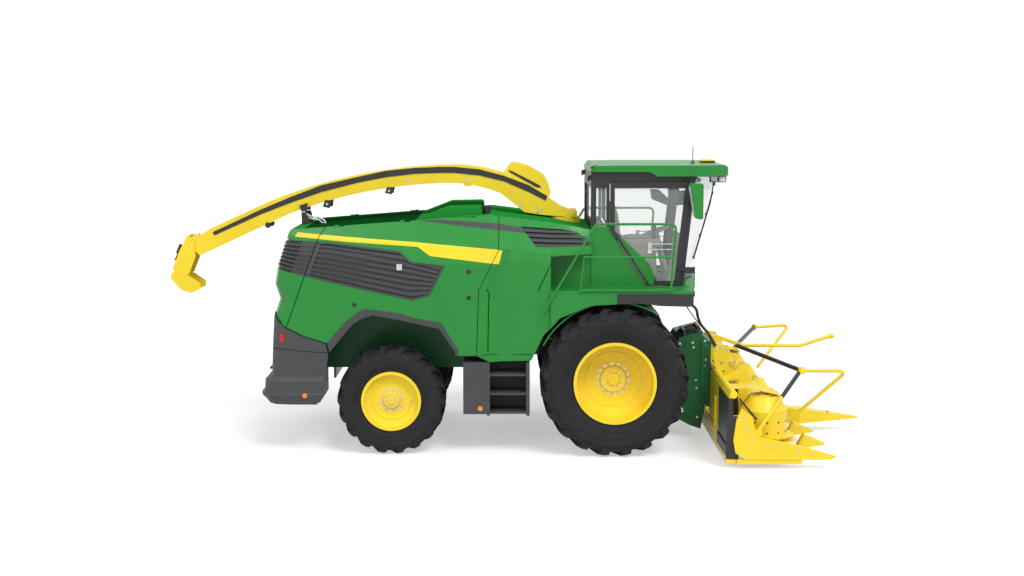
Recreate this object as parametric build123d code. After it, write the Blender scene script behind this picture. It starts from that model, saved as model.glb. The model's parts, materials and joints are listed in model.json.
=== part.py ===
from build123d import *
import math
import os
from functools import lru_cache

# Self-propelled forage harvester with a rotary crop header.
# Millimetres. X points forward, Y to the machine's left, Z up. The ground is Z = 0.
# Lengths that end in _x, _y or _z are places in that frame, the others are sizes.

# Clearances
running_gap = 0.3
moving_gap = 8.0
panel_gap = 9.0

# Stance
wheelbase = 3020.0
front_axle_x = 1304.0
rear_axle_x = front_axle_x - wheelbase
front_track_half = 1295.0
rear_track_half = 1205.0

# Front wheels
front_tyre_radius = 1005.0
front_tyre_width = 710.0
front_rim_radius = 558.0
front_rim_width = 600.0
front_disc_offset = -100.0
front_lug_height = 52.0
front_lug_count = 20

# Rear wheels
rear_tyre_radius = 735.0
rear_tyre_width = 540.0
rear_rim_radius = 406.0
rear_rim_width = 490.0
rear_disc_offset = 120.0
rear_lug_height = 42.0
rear_lug_count = 18

# Axles and steering
axle_tube_radius = 150.0
drive_radius = 215.0
front_spindle_radius = 80.0
rear_spindle_radius = 50.0
kingpin_y = 855.0
kingpin_radius = 35.0
eye_radius = 75.0
eye_height = 240.0
yoke_plate = 40.0
rear_beam_height = 200.0
rear_beam_width = 180.0

# Frame
rail_y = 330.0
rail_width = 85.0
rail_low_z = front_tyre_radius + 195.0
rail_height = 220.0
rail_rear_x = -3250.0
rail_front_x = 1600.0

# Body skin
skin = 30.0
mid_skin = 110.0
hood_half = 1000.0
belt_half = hood_half + 400.0
side_half = belt_half + 50.0
body_rear_x = -3340.0
rear_half = belt_half - 28.0
body_mid_x = -380.0
body_neck_x = 440.0
cab_rear_x = 1000.0
hood_rear_z = 3010.0
hood_mid_z = 3230.0
hood_neck_z = 3130.0
belt_drop = 432.0
shield_low_z = 1360.0
hinge_radius = 13.0
hinge_pin_radius = 7.0
split_gap = 12.0
shield_hinges = (200.0, 1100.0, 2000.0)

# Walkway and fenders
deck_z = 2250.0
deck_thickness = 40.0
deck_outer_y = side_half + 50.0
deck_front_x = 2350.0
arch_gap = 70.0
skirt_split_x = 1323.0

# Cab
cab_half = hood_half - 70.0
deck_inner_y = cab_half + running_gap
cab_wall = 50.0
cab_floor_z = 2230.0
cab_sill_z = 2290.0
cab_top_z = 3650.0
pillar = 90.0
pillar_foot_x = 2180.0
pillar_head_x = 2330.0
door_rear_x = 1260.0
door_thickness = 40.0
door_inner_y = cab_half + 6.0
hinge_x = 2405.0
hinge_y = cab_half + 60.0
door_hinges = [(2450, 2195, 2252), (3400, 2285, 2340)]
glass_thickness = 8.0
roof_rear_x = 985.0
roof_front_x = 2945.0
roof_half = cab_half + 70.0
roof_top_z = 3900.0
roof_rear_z = 3812.0
roof_front_z = 3752.0

# Spout
turret_x = 680.0
turret_z = 3140.0
turret_radius = 210.0
turret_height = 120.0
spout_half = 165.0
spout_sheet = 8.0
spout_pivot_x = 790.0
spout_pivot_z = 3190.0
flap_gap = 6.0
flap_sheet = 6.0
flap_pin_radius = 12.0
screen_half = 880.0
screen_low_z = 2010.0
screen_high_z = 2590.0
shoulder_outline = [(41, 3080), (568, 3040), (1108, 2958), (1103, 2812), (243, 2826)]
tow_pin_radius = 16.5
flap_x = -4640.0
flap_z = 2815.0
flap_pin_half = spout_half + flap_gap + flap_sheet + 6.0
tip_x = -4880.0
tip_z = 2300.0
rear_levels = [
    # height, how far the rear face stands in from the body's rear
    (500, 0), (1540, 0), (1830, 10), (2100, 100), (2300, 35), (2510, 70), (2995, 230), (3300, 330),
]
grille_top = [(-3700, 2945), (-2510, 2890), (-1580, 2770), (-980, 2580)]
grille_low = [(-3700, 2632), (-2520, 2350), (-1420, 2110), (-1180, 2175)]

# Crop intake and header
lift_x = 1720.0
lift_z = 900.0
cutter_radius = 340.0
cutter_half = 420.0
feeder_half = 450.0
lift_pin_radius = 45.0
header_half = 2250.0
header_rear_x = 2740.0
header_floor_z = 72.0
row_spacing = header_half / 3
drum_x = 3280.0
drum_spacing = header_half / 2
disc_radius = 0.418 * drum_spacing
drum_radius = 0.66 * disc_radius
drum_top_z = 700.0
cone_top_z = 880.0
spindle_radius = 60.0
divider_tip_x = 4150.0
snout_tip_x = 4950.0
arm_joint = (3740.0, header_half - 400.0, 1235.0)

# Header lift cylinders
cylinder_y = 520.0
cylinder_rear_x = 1250.0
cylinder_rear_z = 620.0
cylinder_front_x = 2300.0
cylinder_front_z = 420.0
barrel_radius = 45.0
ram_radius = 24.0


def prism_y(outline, low, high):
    """Outline of (x, z) points, filled between two values of Y."""
    plane = Plane(origin=(0, high, 0), x_dir=(1, 0, 0), z_dir=(0, -1, 0))
    return extrude(plane * make_face(Polyline(*outline, close=True)), high - low)


def prism_x(outline, low, high):
    """Outline of (y, z) points, filled between two values of X."""
    plane = Plane(origin=(low, 0, 0), x_dir=(0, 1, 0), z_dir=(1, 0, 0))
    return extrude(plane * make_face(Polyline(*outline, close=True)), high - low)


def prism_z(outline, low, high):
    """Outline of (x, y) points, filled between two values of Z."""
    plane = Plane.XY.offset(low)
    return extrude(plane * make_face(Polyline(*outline, close=True)), high - low)


def shrunk(outline, by):
    """Outline drawn in by a distance on every side."""
    ends = outline[1:] + outline[:1]
    area = sum(a[0] * b[1] - b[0] * a[1] for a, b in zip(outline, ends))
    inward = by if area > 0 else -by
    lines = []
    for (x0, z0), (x1, z1) in zip(outline, ends):
        length = math.hypot(x1 - x0, z1 - z0)
        lines.append((x0 - inward * (z1 - z0) / length, z0 + inward * (x1 - x0) / length, x1 - x0, z1 - z0))
    points = []
    for (x0, z0, dx0, dz0), (x1, z1, dx1, dz1) in zip(lines[-1:] + lines[:-1], lines):
        share = ((x1 - x0) * dz1 - (z1 - z0) * dx1) / (dx0 * dz1 - dz0 * dx1)
        points.append((x0 + dx0 * share, z0 + dz0 * share))
    return points


def strip(line, width):
    """Outline of a narrow strip along a line of (x, z) points."""
    return [(x, z + width / 2) for x, z in line] + [(x, z - width / 2) for x, z in reversed(line)]


def upright_strip(line, width):
    """Outline of a narrow strip along a steep line of (x, z) points."""
    return [(x + width / 2, z) for x, z in line] + [(x - width / 2, z) for x, z in reversed(line)]


def block(x, y, z):
    """Box from pairs of lowest and highest X, Y and Z."""
    size = [pair[1] - pair[0] for pair in (x, y, z)]
    middle = [(pair[0] + pair[1]) / 2 for pair in (x, y, z)]
    return Pos(*middle) * Box(*size)


def rod(start, end, radius):
    """Round bar between two points."""
    line = Line(start, end)
    return extrude(Plane(origin=start, z_dir=line % 0) * Circle(radius), line.length)


def tube(points, radius, bend):
    """Round bar along a path of straight runs with bends of one radius."""
    path = FilletPolyline(*points, radius=bend) if len(points) > 2 else Line(*points)
    return sweep(Plane(origin=path @ 0, z_dir=path % 0) * Circle(radius), path)


def other_side(piece):
    """The same piece on the other side of the machine."""
    return mirror(piece, about=Plane.XZ)


def pair(piece):
    """A piece and its mirror image."""
    return [piece, other_side(piece)]


def turned(profile):
    """Outline of (y, radius) points, turned about the Y axis."""
    points = [(radius, y) for y, radius in profile]
    return revolve(make_face(Polyline(*points, close=True)), Axis.Y)


def save(node, pieces):
    """Write one node from a piece or a list of pieces."""
    pieces = pieces if isinstance(pieces, list) else [pieces]
    solids = [solid for piece in pieces for solid in piece.solids()]
    export_step(solids[0] if len(solids) == 1 else Compound(solids), f"parts/{node}.step")


# Wheels


def tyre(radius, width, rim_radius, rim_width, lug_height, lug_count):
    """Tyre about the Y axis: a carcass with chevron lugs on both shoulders."""
    half = width / 2
    bead_y = rim_width / 2 - 18 - running_gap
    bead_radius = rim_radius - 25 + running_gap
    tread = radius - lug_height
    side = (rim_radius + radius) / 2
    wall = 34.0
    right = [
        (0.31 * width, tread),
        (0.455 * width, tread - 28),
        (half, side + 0.12 * (radius - rim_radius)),
        (half - 6, side - 60),
        (bead_y, rim_radius + 8),
        (bead_y, bead_radius),
        (bead_y - 50, bead_radius),
        (bead_y - wall + 4, rim_radius + 30),
        (half - wall, side),
        (0.42 * width, tread - 28 - wall),
        (0.31 * width, tread - wall),
    ]
    left = [(-y, r) for y, r in reversed(right)]
    carcass = turned(right[:7] + right[7:] + left[:4] + left[4:])
    crown = [
        (0.33 * width, radius),
        (0.475 * width, radius - 36),
        (0.492 * width, radius - 130),
        (0.44 * width, tread - 40),
        (0.31 * width, tread - 12),
    ]
    envelope = turned(crown + [(-y, r) for y, r in reversed(crown)])
    bar = 0.047 * width + 14
    outline = [
        (-0.03 * width, bar),
        (0.24 * width, -0.15 * width + bar),
        (0.5 * width, -0.24 * width + bar),
        (0.5 * width, -0.24 * width - bar - 12),
        (0.24 * width, -0.15 * width - bar),
        (-0.03 * width, -bar),
    ]
    plane = Plane(origin=(0, 0, tread - 90), x_dir=(0, 1, 0), z_dir=(0, 0, 1))
    face = plane * make_face(Polyline(*[(y, -x) for y, x in outline], close=True))
    lug = extrude(face, lug_height + 120) & envelope
    pitch = 360 / lug_count
    lugs = []
    for index in range(lug_count):
        lugs.append(Rot(0, index * pitch, 0) * lug)
        lugs.append(Rot(0, (index + 0.5) * pitch, 0) * other_side(lug))
    return carcass + lugs


def rim(rim_radius, rim_width, disc_y, hub_radius, bore_radius, hub_depth):
    """Wheel rim about the Y axis, outer side at +Y, with its disc and blind hub."""
    half = rim_width / 2
    inner = rim_radius - 40
    seat = rim_radius - 25
    profile = [
        (-half, inner),
        (-half, rim_radius),
        (-half + 18, rim_radius),
        (-half + 18, seat),
        (half - 18, seat),
        (half - 18, rim_radius),
        (half, rim_radius),
        (half, inner),
        (disc_y + 60, inner),
        (disc_y + 20, 0.62 * inner),
        (disc_y + 20, hub_radius),
        (disc_y + 70, hub_radius - 20),
        (disc_y + 70, 0),
        (disc_y + 40, 0),
        (disc_y + 40, bore_radius),
        (disc_y - hub_depth, bore_radius),
        (disc_y - hub_depth, hub_radius),
        (disc_y, hub_radius),
        (disc_y, 0.62 * inner),
        (disc_y + 30, inner),
    ]
    return turned(profile)


def wheels():
    """Four tyres and four rims, each in its own node."""
    front = tyre(front_tyre_radius, front_tyre_width, front_rim_radius, front_rim_width,
                 front_lug_height, front_lug_count)
    rear = tyre(rear_tyre_radius, rear_tyre_width, rear_rim_radius, rear_rim_width,
                rear_lug_height, rear_lug_count)
    front_rim = rim(front_rim_radius, front_rim_width, front_disc_offset, 190.0,
                    front_spindle_radius + running_gap, 20.0)
    rear_rim = rim(rear_rim_radius, rear_rim_width, rear_disc_offset, 120.0,
                   rear_spindle_radius + running_gap, 240.0)
    places = [
        ("front", front_axle_x, front_track_half, front_tyre_radius, front, front_rim),
        ("rear", rear_axle_x, rear_track_half, rear_tyre_radius, rear, rear_rim),
    ]
    for name, x, y, z, rubber, metal in places:
        for node, piece in ((f"{name}_tyre", rubber), (f"{name}_rim", metal)):
            left = Pos(x, y, z) * piece
            save(f"{node}_left", left)
            save(f"{node}_right", other_side(left))


def stretched(near, far, tail):
    """A cross-section's numbers moved out along the line from its neighbour."""
    share = tail / abs(near[0] - far[0])
    return tuple(a + (a - b) * share for a, b in zip(near, far))


# Chassis


def hood_under_z(x):
    """Height of a post's top just under the hood."""
    if x < body_mid_x:
        low_x, low_z, high_x, high_z = body_rear_x, hood_rear_z, body_mid_x, hood_mid_z
    else:
        low_x, low_z, high_x, high_z = body_mid_x, hood_mid_z, body_neck_x, hood_neck_z
    return low_z + (high_z - low_z) * (x - low_x) / (high_x - low_x) - skin - running_gap


def chassis_frame():
    """Two rails, cross members, rear axle bracket and the tow clevis."""
    rail_top_z = rail_low_z + rail_height
    rail = block((rail_rear_x, rail_front_x), (rail_y, rail_y + rail_width),
                 (rail_low_z, rail_top_z))
    frame = rail + other_side(rail)
    for x in (rail_rear_x, -2300, rear_axle_x - 150, rear_axle_x + 50, -700, 200, 1150):
        frame += block((x, x + 100), (-rail_y, rail_y), (rail_low_z, rail_top_z))
    beam_top_z = rear_tyre_radius + rear_beam_height / 2
    for x in (rear_axle_x - 160, rear_axle_x + 120):
        outline = [(-rail_y - 60, rail_low_z), (rail_y + 60, rail_low_z), (150, beam_top_z - 190),
                   (-150, beam_top_z - 190)]
        frame += prism_x(outline, x, x + 40)
    frame += rod((rear_axle_x - 190, 0, rear_tyre_radius), (rear_axle_x + 190, 0, rear_tyre_radius), 50)
    frame += tow_clevis()
    return frame


def tow_clevis():
    """Two ears on a drop plate at the rear, with an upright pin hole."""
    x = rail_rear_x
    drop = block((x - 40, x), (-rail_y - rail_width, rail_y + rail_width), (820, rail_low_z + rail_height))
    for z in (840, 930):
        ear = block((x - 330, x - 40), (-90, 90), (z, z + 30))
        drop += ear
    return drop - Pos(x - 260, 0, 900) * Cylinder(tow_pin_radius, 400)



def front_axle():
    """Axle tube, its saddles under the rails, and a final drive with spindle each side."""
    z = front_tyre_radius
    drive_y = front_track_half + front_disc_offset - 20 - moving_gap
    side = rod((front_axle_x, 0, z), (front_axle_x, 720, z), axle_tube_radius)
    side += rod((front_axle_x, 700, z), (front_axle_x, drive_y, z), drive_radius)
    side += rod((front_axle_x, drive_y, z), (front_axle_x, drive_y + 62, z), front_spindle_radius)
    side += block((front_axle_x - 110, front_axle_x + 110), (rail_y, rail_y + rail_width),
                  (z + 100, rail_low_z))
    side += cylinder_anchor()
    return side + other_side(side)


def cylinder_anchor():
    """Ears under the axle that hold the pin of one header lift cylinder."""
    low = (cylinder_rear_x, cylinder_rear_z)
    outline = [(low[0] - 50, low[1] - 50), (low[0] + 50, low[1] - 50),
               (front_axle_x + 120, front_tyre_radius - 90), (front_axle_x - 120, front_tyre_radius - 90)]
    ears = prism_y(outline, cylinder_y - 75, cylinder_y - 58)
    ears += prism_y(outline, cylinder_y + 58, cylinder_y + 75)
    return ears + rod((low[0], cylinder_y - 75, low[1]), (low[0], cylinder_y + 75, low[1]), 20)


def rear_axle():
    """Steered axle beam on its centre pivot, with a kingpin eye at each end."""
    z = rear_tyre_radius
    half_height = rear_beam_height / 2
    side = block((rear_axle_x - rear_beam_width / 2, rear_axle_x + rear_beam_width / 2),
                 (0, kingpin_y - 60), (z - half_height + 20, z + half_height - 20))
    side += Pos(rear_axle_x, kingpin_y, z) * Cylinder(eye_radius, eye_height)
    side -= Pos(rear_axle_x, kingpin_y, z) * Cylinder(kingpin_radius + running_gap, eye_height + 2)
    beam = side + other_side(side)
    return beam - rod((rear_axle_x - 200, 0, z), (rear_axle_x + 200, 0, z), 50 + running_gap)


def steering_knuckle():
    """Forked knuckle with its kingpin and the wheel spindle, on the left."""
    z = rear_tyre_radius
    half = eye_height / 2 + moving_gap
    fork = None
    for low in (z + half, z - half - yoke_plate):
        plate = block((rear_axle_x - 80, rear_axle_x + 80), (kingpin_y - 60, kingpin_y + 130),
                      (low, low + yoke_plate))
        fork = plate if fork is None else fork + plate
    fork += block((rear_axle_x - 80, rear_axle_x + 80), (kingpin_y + 90, kingpin_y + 130),
                  (z - half, z + half))
    fork += Pos(rear_axle_x, kingpin_y, z) * Cylinder(kingpin_radius, 2 * half)
    hub_end = rear_track_half + rear_disc_offset + 30
    fork += rod((rear_axle_x, kingpin_y + 100, z), (rear_axle_x, hub_end, z), rear_spindle_radius)
    return fork


def engine_block():
    """Engine as one plain block across the rear frame."""
    return block((-2450, -650), (-400, 400), (rail_low_z + rail_height, 2650))


def body_posts():
    """Posts on the rails that carry the hood and cab, and outriggers to the mid panels."""
    posts = []
    low = rail_low_z + rail_height + running_gap
    for x in (rail_rear_x + 260, -560, 250):
        side = [(x, low), (x + 90, low), (x + 90, hood_under_z(x + 90)), (x, hood_under_z(x))]
        posts.append(prism_y(side, rail_y, rail_y + rail_width))
    for x in (1050, 1470):
        posts.append(block((x, x + 100), (rail_y, rail_y + rail_width), (low, 1980)))
    posts.append(block((body_mid_x, body_mid_x + 80), (rail_y + rail_width + running_gap, side_half - mid_skin - running_gap),
                       (1280, 1400)))
    return posts + [other_side(post) for post in posts]


def cutter_housing():
    """Round cutterhead housing and the channel that lifts the crop to the turret."""
    barrel = rod((lift_x, -cutter_half, lift_z), (lift_x, cutter_half, lift_z), cutter_radius)
    top = rail_low_z
    box = block((lift_x - 240, lift_x + 60), (-cutter_half, cutter_half), (560, top))
    housing = (barrel + box) & block((front_axle_x + axle_tube_radius + 6, 4000), (-600, 600), (0, top))
    ring_z = turret_z - turret_height - running_gap
    channel = [
        (lift_x - 60, top), (lift_x - 60, top + 240), (turret_x + 140, 2000), (turret_x + 140, ring_z),
        (turret_x - 140, ring_z), (turret_x - 140, 1760), (lift_x - 240, top + 120), (lift_x - 240, top),
    ]
    housing += prism_y(channel, -spout_half, spout_half)
    pin = rod((lift_x, cutter_half, lift_z), (lift_x, feeder_half + 40, lift_z), lift_pin_radius)
    return housing + pin + other_side(pin)


# Body


def body_form(inset, tail=0.0):
    """Ruled body volume through four cross-sections, inset by a wall thickness."""
    stations = [
        # x, hood half width, hood height, belt half width, belt height
        (body_rear_x, hood_half - 60, hood_rear_z, belt_half - 80, hood_rear_z - 20),
        (body_mid_x, hood_half, hood_mid_z, belt_half, hood_mid_z - belt_drop),
        (body_neck_x, hood_half, hood_neck_z, belt_half, hood_neck_z - belt_drop + 25),
        (cab_rear_x, hood_half - 50, hood_neck_z - 110, hood_half + 70, hood_neck_z - 440),
    ]
    stations[0] = stretched(stations[0], stations[1], tail + 40)
    stations[3] = stretched(stations[3], stations[2], tail)
    faces = []
    for x, top_half, top_z, belt, belt_z in stations:
        right = [
            (top_half - 0.6 * inset, top_z - inset),
            (belt - 0.8 * inset, belt_z - inset),
            (belt + 50 - inset, belt_z - 230),
            (belt + 50 - inset, 600 if inset > 0 else 650),
        ]
        plane = Plane(origin=(x, 0, 0), x_dir=(0, 1, 0), z_dir=(1, 0, 0))
        outline = right + [(-y, z) for y, z in reversed(right)]
        faces.append(plane * make_face(Polyline(*outline, close=True)))
    return loft(faces, ruled=True)


def rear_form(inset):
    """Body volume bounded by the waisted rear face and its rounded corners."""
    faces = []
    half = rear_half - inset
    front = side_half + 50 - inset
    for z, shift in rear_levels:
        x = body_rear_x + shift + inset
        right = [(x, half - 272), (x + 45, half - 130), (x + 150, half - 30), (x + 280, half),
                 (x + 940, front), (x + 4900, front)]
        outline = right + [(x, -y) for x, y in reversed(right)]
        faces.append(Plane.XY.offset(z) * make_face(Polyline(*outline, close=True)))
    return loft(faces, ruled=True)


@lru_cache(maxsize=None)
def form(inset, tail=0.0):
    """Body volume inset by a wall thickness, with its rounded rear."""
    return body_form(inset, tail) & rear_form(inset)



hood_low_z = 2950.0
grille_outline = [
    (-3700, 2945), (-2510, 2890), (-1580, 2770), (-1420, 2630), (-980, 2580),
    (-1180, 2175), (-1420, 2110), (-2520, 2350), (-3700, 2632),
]
shield_rear_edge = [(-3110, 1770), (-2500, 3400)]
shield_front_edge = [(-262, 3400), (-262, 2790), (-532, 2250), (-562, shield_low_z)]
rear_arch = [
    (-800, shield_low_z), (-807, 1441), (-1034, 1809), (-1382, 1870), (-1583, 1931), (-1851, 1971),
    (-2052, 1992), (-2147, 1958), (-2323, 1822), (-2579, 1525), (-2874, 1614), (-3128, 1736),
]
arch_inner = [
    (-840, shield_low_z), (-848, 1414), (-1061, 1727), (-1517, 1829), (-1959, 1910), (-2094, 1863),
    (-2230, 1781), (-2353, 1632), (-2545, 1400),
]


def skin_shell(thickness):
    """Body skin, open below and in front."""
    return form(0.0) - form(thickness, 50.0)


def hood_plan(gap):
    """Plan of the hood between the hinge lines, as (x, y) points."""
    right = [(body_rear_x - 60, hood_half - 60 - gap), (body_rear_x, hood_half - 60 - gap),
             (body_mid_x, hood_half - gap), (body_neck_x, hood_half - gap), (cab_rear_x, hood_half - 50 - gap)]
    return right + [(x, -y) for x, y in reversed(right)]


def hinge_point(distance):
    """Point on the left shield's hinge line, at a distance from its front end."""
    front = Vector(body_mid_x, hood_half, hood_mid_z)
    rear = Vector(body_rear_x, hood_half - 60, hood_rear_z)
    return front + (rear - front).normalized() * distance


def hinge_rod(start, end, radius):
    """Round bar along the hinge line between two distances from its front end."""
    return rod(hinge_point(start), hinge_point(end), radius)


def with_hinge_pins(deck):
    """Hood with the barrels and pins of both shields' hinges."""
    for at in shield_hinges:
        room = hinge_rod(at + 60, at + 140, hinge_radius + moving_gap)
        pin = hinge_rod(at, at + 60, hinge_radius) + hinge_rod(at, at + 130, hinge_pin_radius)
        deck = deck - room - other_side(room) + pin + other_side(pin)
    return deck


def with_hinge_eyes(panel):
    """Left shield with the eyes that turn on the hood's pins."""
    for at in shield_hinges:
        panel -= hinge_rod(at - moving_gap, at + 140, hinge_radius + moving_gap)
        eye = hinge_rod(at + 60 + moving_gap, at + 130, hinge_radius)
        arm = hinge_rod(at + 60 + moving_gap, at + 130, hinge_radius + moving_gap + 12) - hood_side()
        eye += arm & panel_side()
        panel += eye - hinge_rod(at, at + 150, hinge_pin_radius + running_gap)
    return panel


def hood_side():
    """Space on the hood's side of the left hinge line."""
    return block((-4000, 0), (0, hood_half - 62), (2000, 4000))


def panel_side():
    """Space just outside the left hinge line."""
    plan = [(body_rear_x, hood_half - 58), (body_mid_x, hood_half + 2), (body_mid_x, hood_half + 60),
            (body_rear_x, hood_half)]
    return prism_z(plan, 2900, 3400) & body_form(0.0)


def hood_deck(shell):
    """Fixed hood between the side shields, with the turret opening and a raised cowl."""
    deck = shell & prism_z(hood_plan(panel_gap), hood_low_z, 4000)
    deck = with_hinge_pins(deck)
    deck -= Pos(turret_x, 0, turret_z - 100) * Cylinder(turret_radius + 10, 400)
    cowl = [(-1381, 3090), (-1381, 3152), (-965, 3315), (-510, 3322), (-490, 3290), (-490, 3090)]
    raised = prism_y(cowl, -850, -330) + prism_y(cowl, 330, 850)
    return deck + (raised - body_form(skin, 50.0))


def spout_rest():
    """Legs on the hood that the spout rests on."""
    leg = prism_y([(-3060, 3000), (-2935, 3000), (-2985, 3205), (-3066, 3205)], spout_half + 10, spout_half + 40)
    return pair(leg - body_form(-running_gap, 50.0))


def exhaust():
    """Round exhaust outlet beside the cowl."""
    low_z = hood_mid_z + running_gap
    stack = Pos(-430, -700, low_z + 35) * Cylinder(60, 70)
    stack += Pos(-430, -700, low_z + 85) * Cylinder(66, 30)
    return stack - Pos(-430, -700, low_z + 90) * Cylinder(50, 30)


def side_skin(shell):
    """Left-hand skin outside the hood."""
    return (shell - prism_z(hood_plan(0.0), 2000, 4000)) & block((-4000, 4000), (0, 2000), (0, 4000))


def side_shield(side):
    """Left side shield, cut out for its grille and the wheel arch."""
    outline = [shield_rear_edge[1]] + shield_front_edge + rear_arch + [shield_rear_edge[0]]
    panel = side & prism_y(outline, 0, 2000)
    relief = prism_y([shield_rear_edge[1], shield_rear_edge[0], (shield_rear_edge[0][0] + 32, 1700),
                      (shield_rear_edge[1][0] + 32, 3400)], 0, 2000)
    panel -= relief & form(8.0)
    return with_hinge_eyes(panel - prism_y(grille_outline, hood_half + 60, 2000))


def louvres(count, thin, wide, low, high):
    """Louvre blades between two depths below the skin, narrow at the rear and wide in front."""
    blades = []
    step = [(-1960, 2700), (-2110, 2400)]
    rear = prism_y([(-4000, 1500), (-4000, 3500), (-1560, 3500), step[0], step[1], (-2560, 1500)], -2000, 2000)
    for width, wanted in ((thin, True), (wide, False)):
        for index in range(1, count + 1):
            share = index / (count + 1)
            line = [(a[0] + (b[0] - a[0]) * share, a[1] + (b[1] - a[1]) * share)
                    for a, b in zip(grille_top, grille_low)]
            blade = prism_y(strip(line, width), -2000, 2000)
            blades.append(blade & rear if wanted else blade - rear)
    return (blades[0] + blades[1:]) & (form(low) - form(high, 50.0))


def side_grille():
    """Louvred grille of the left side shield with its frame, and the trim of the wheel arch."""
    field = shrunk(grille_outline, running_gap)
    grid = prism_y(field, 900, 2000) & (form(26.0) - form(40.0, 50.0))
    grid += (prism_y(field, 900, 2000) - prism_y(shrunk(grille_outline, 26.0), 900, 2000)) & (form(-5.0) - form(30.0))
    edge = [(x + 60, z) for x, z in shield_rear_edge]
    grid += prism_y(field, 900, 2000) & prism_y(list(shield_rear_edge) + edge[::-1], 900, 2000) & (
        form(2.0) - form(30.0))
    grid += louvres(7, 20.0, 44.0, 3.0, 30.0) & prism_y(shrunk(grille_outline, 20.0), 900, 2000)
    clip = [shield_rear_edge[1], (0, 3400), (0, 1500), (shield_rear_edge[0][0], 1500),
            shield_rear_edge[0]]
    grid = grid & prism_y(clip, 900, 2000)
    relief = prism_y([shield_rear_edge[1], shield_rear_edge[0], (shield_rear_edge[0][0] + 32, 1700),
                      (shield_rear_edge[1][0] + 32, 3400)], 0, 2000)
    grid -= relief & form(10.0)
    outer = [(x, z - running_gap) for x, z in rear_arch[:10]]
    trim = prism_y(outer + arch_inner[::-1], 1000, 2000) & (form(-8.0) - form(40.0, 50.0))
    return [grid, trim]


def mid_panel(side):
    """Left panel between the side shield and the walkway, hollowed on its outside."""
    outline = [
        (-262 + panel_gap, 3400), (-262 + panel_gap, 2790), (-532 + panel_gap, 2250),
        (-562 + panel_gap, shield_low_z), (-380, 1270), (180, 1290), (345, 1640),
        (body_neck_x, 1740), (body_neck_x, deck_z), (cab_rear_x, deck_z), (cab_rear_x, 3400),
    ]
    upper = block((body_neck_x, cab_rear_x), (0, 2000), (0, 2700))
    wall = block((body_neck_x, cab_rear_x), (deck_inner_y - skin, deck_inner_y), (deck_z, 2760))
    panel = (side & prism_y(outline, 0, 2000)) - upper + wall - side_recess()
    for line in ([(-410, 2262), (-385, 2180), (-395, 2080), (-404, 1405)], [(448, 2619), (266, 2231)]):
        panel -= prism_y(upright_strip(line, 16.0), 1300, 2000) - form(mid_skin - 25.0)
    panel -= block((-485, 190), (side_half - 70, 2000), (1366, 1376))
    return panel - (prism_y(shoulder_outline, hood_half + 10, 2000) - form(50.0, 50.0))


def side_recess():
    """Hollow of the left mid panel, ruled from its foot to a point below the hood."""
    sections = [
        # height, then the rear edge, the crease and the front edge as x and y
        (1200, (-500, side_half - 1), (-200, side_half - 80), (body_neck_x + 1, side_half + 1)),
        (2120, (-500, side_half - 1), (-200, side_half - 80), (body_neck_x + 1, side_half + 1)),
        (2640, (-290, side_half - 12), (-120, side_half - 86), (body_neck_x + 1, side_half - 9)),
        (2800, (-235, belt_half), (-95, belt_half - 70), (330, belt_half)),
        (3040, (-60, belt_half - 220), (-43, belt_half - 232), (243, belt_half - 220)),
    ]
    faces = []
    for z, rear, crease, front in sections:
        outline = [rear, crease, front, (front[0], side_half + 300), (rear[0], side_half + 300)]
        faces.append(Plane.XY.offset(z) * make_face(Polyline(*outline, close=True)))
    return loft(faces, ruled=True)


def shoulder_grille():
    """Slatted air inlet in the shoulder beside the turret."""
    field = prism_y(shrunk(shoulder_outline, running_gap), hood_half + 10 + running_gap, 2000)
    grid = field & (form(20.0) - form(50.0 - running_gap, 50.0))
    rear, front = (150, 2950), (1100, 2880)
    for drop in (-150, -90, -30, 30, 90):
        line = [(-100, rear[1] - drop), (1200, front[1] - drop)]
        grid += field & prism_y(strip(line, 26.0), 900, 2000) & (form(-4.0) - form(24.0, 50.0))
    return grid & block((-200, cab_rear_x - running_gap), (0, 2000), (2000, 4000))


def rear_panel(shell):
    """Rear corner panels and the rear wall around the radiator screen."""
    edge = [(x - split_gap, z) for x, z in shield_rear_edge]
    outline = edge + [(-3700, 3400), (-3700, 1950), (-3319, 1938), (-3207, 1793), (-3138, 1735)]
    panel = (shell & prism_y(outline, -2000, 2000)) - prism_z(hood_plan(0.0), 2880, 4000)
    panel -= prism_y(grille_outline, -2000, 2000)
    return panel - block((-4000, -2500), (-screen_half, screen_half), (screen_low_z, screen_high_z))


def rear_louvres():
    """Louvres that wrap round the rear from one side to the other."""
    edge = [(x - split_gap, z) for x, z in shield_rear_edge]
    clip = prism_y([edge[0], edge[1], (-3800, 3400), (-3800, 1500)], -2000, 2000)
    field = prism_y(shrunk(grille_outline, running_gap), -2000, 2000) & clip
    grid = field & (form(26.0) - form(40.0, 50.0))
    plate = [(x - 190, z) for x, z in edge]
    grid += field & prism_y([edge[0], edge[1], plate[1], plate[0]], -2000, 2000) & (form(2.0) - form(30.0))
    grid += louvres(7, 22.0, 22.0, -9.0, 30.0) & field
    top = hood_low_z - running_gap
    grid -= prism_z(hood_plan(0.0), top, 4000)
    return grid + (block((-4000, -3000), (-850, 850), (top - 50, top)) & (form(2.0) - form(30.0)))


def rear_screen():
    """Radiator screen in the rear wall with its cross slats."""
    half = screen_half - running_gap
    frame = block((-4000, -2500), (-half, half), (screen_low_z + running_gap, screen_high_z - running_gap))
    screen = frame & (form(12.0) - form(26.0, 50.0))
    slats = []
    z = screen_low_z + 30
    while z < screen_high_z - 20:
        slats.append(block((-4000, -2500), (-half, half), (z, z + 12)))
        z += 42
    return screen + ((slats[0] + slats[1:]) & (form(4.0) - form(16.0, 50.0)))


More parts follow.
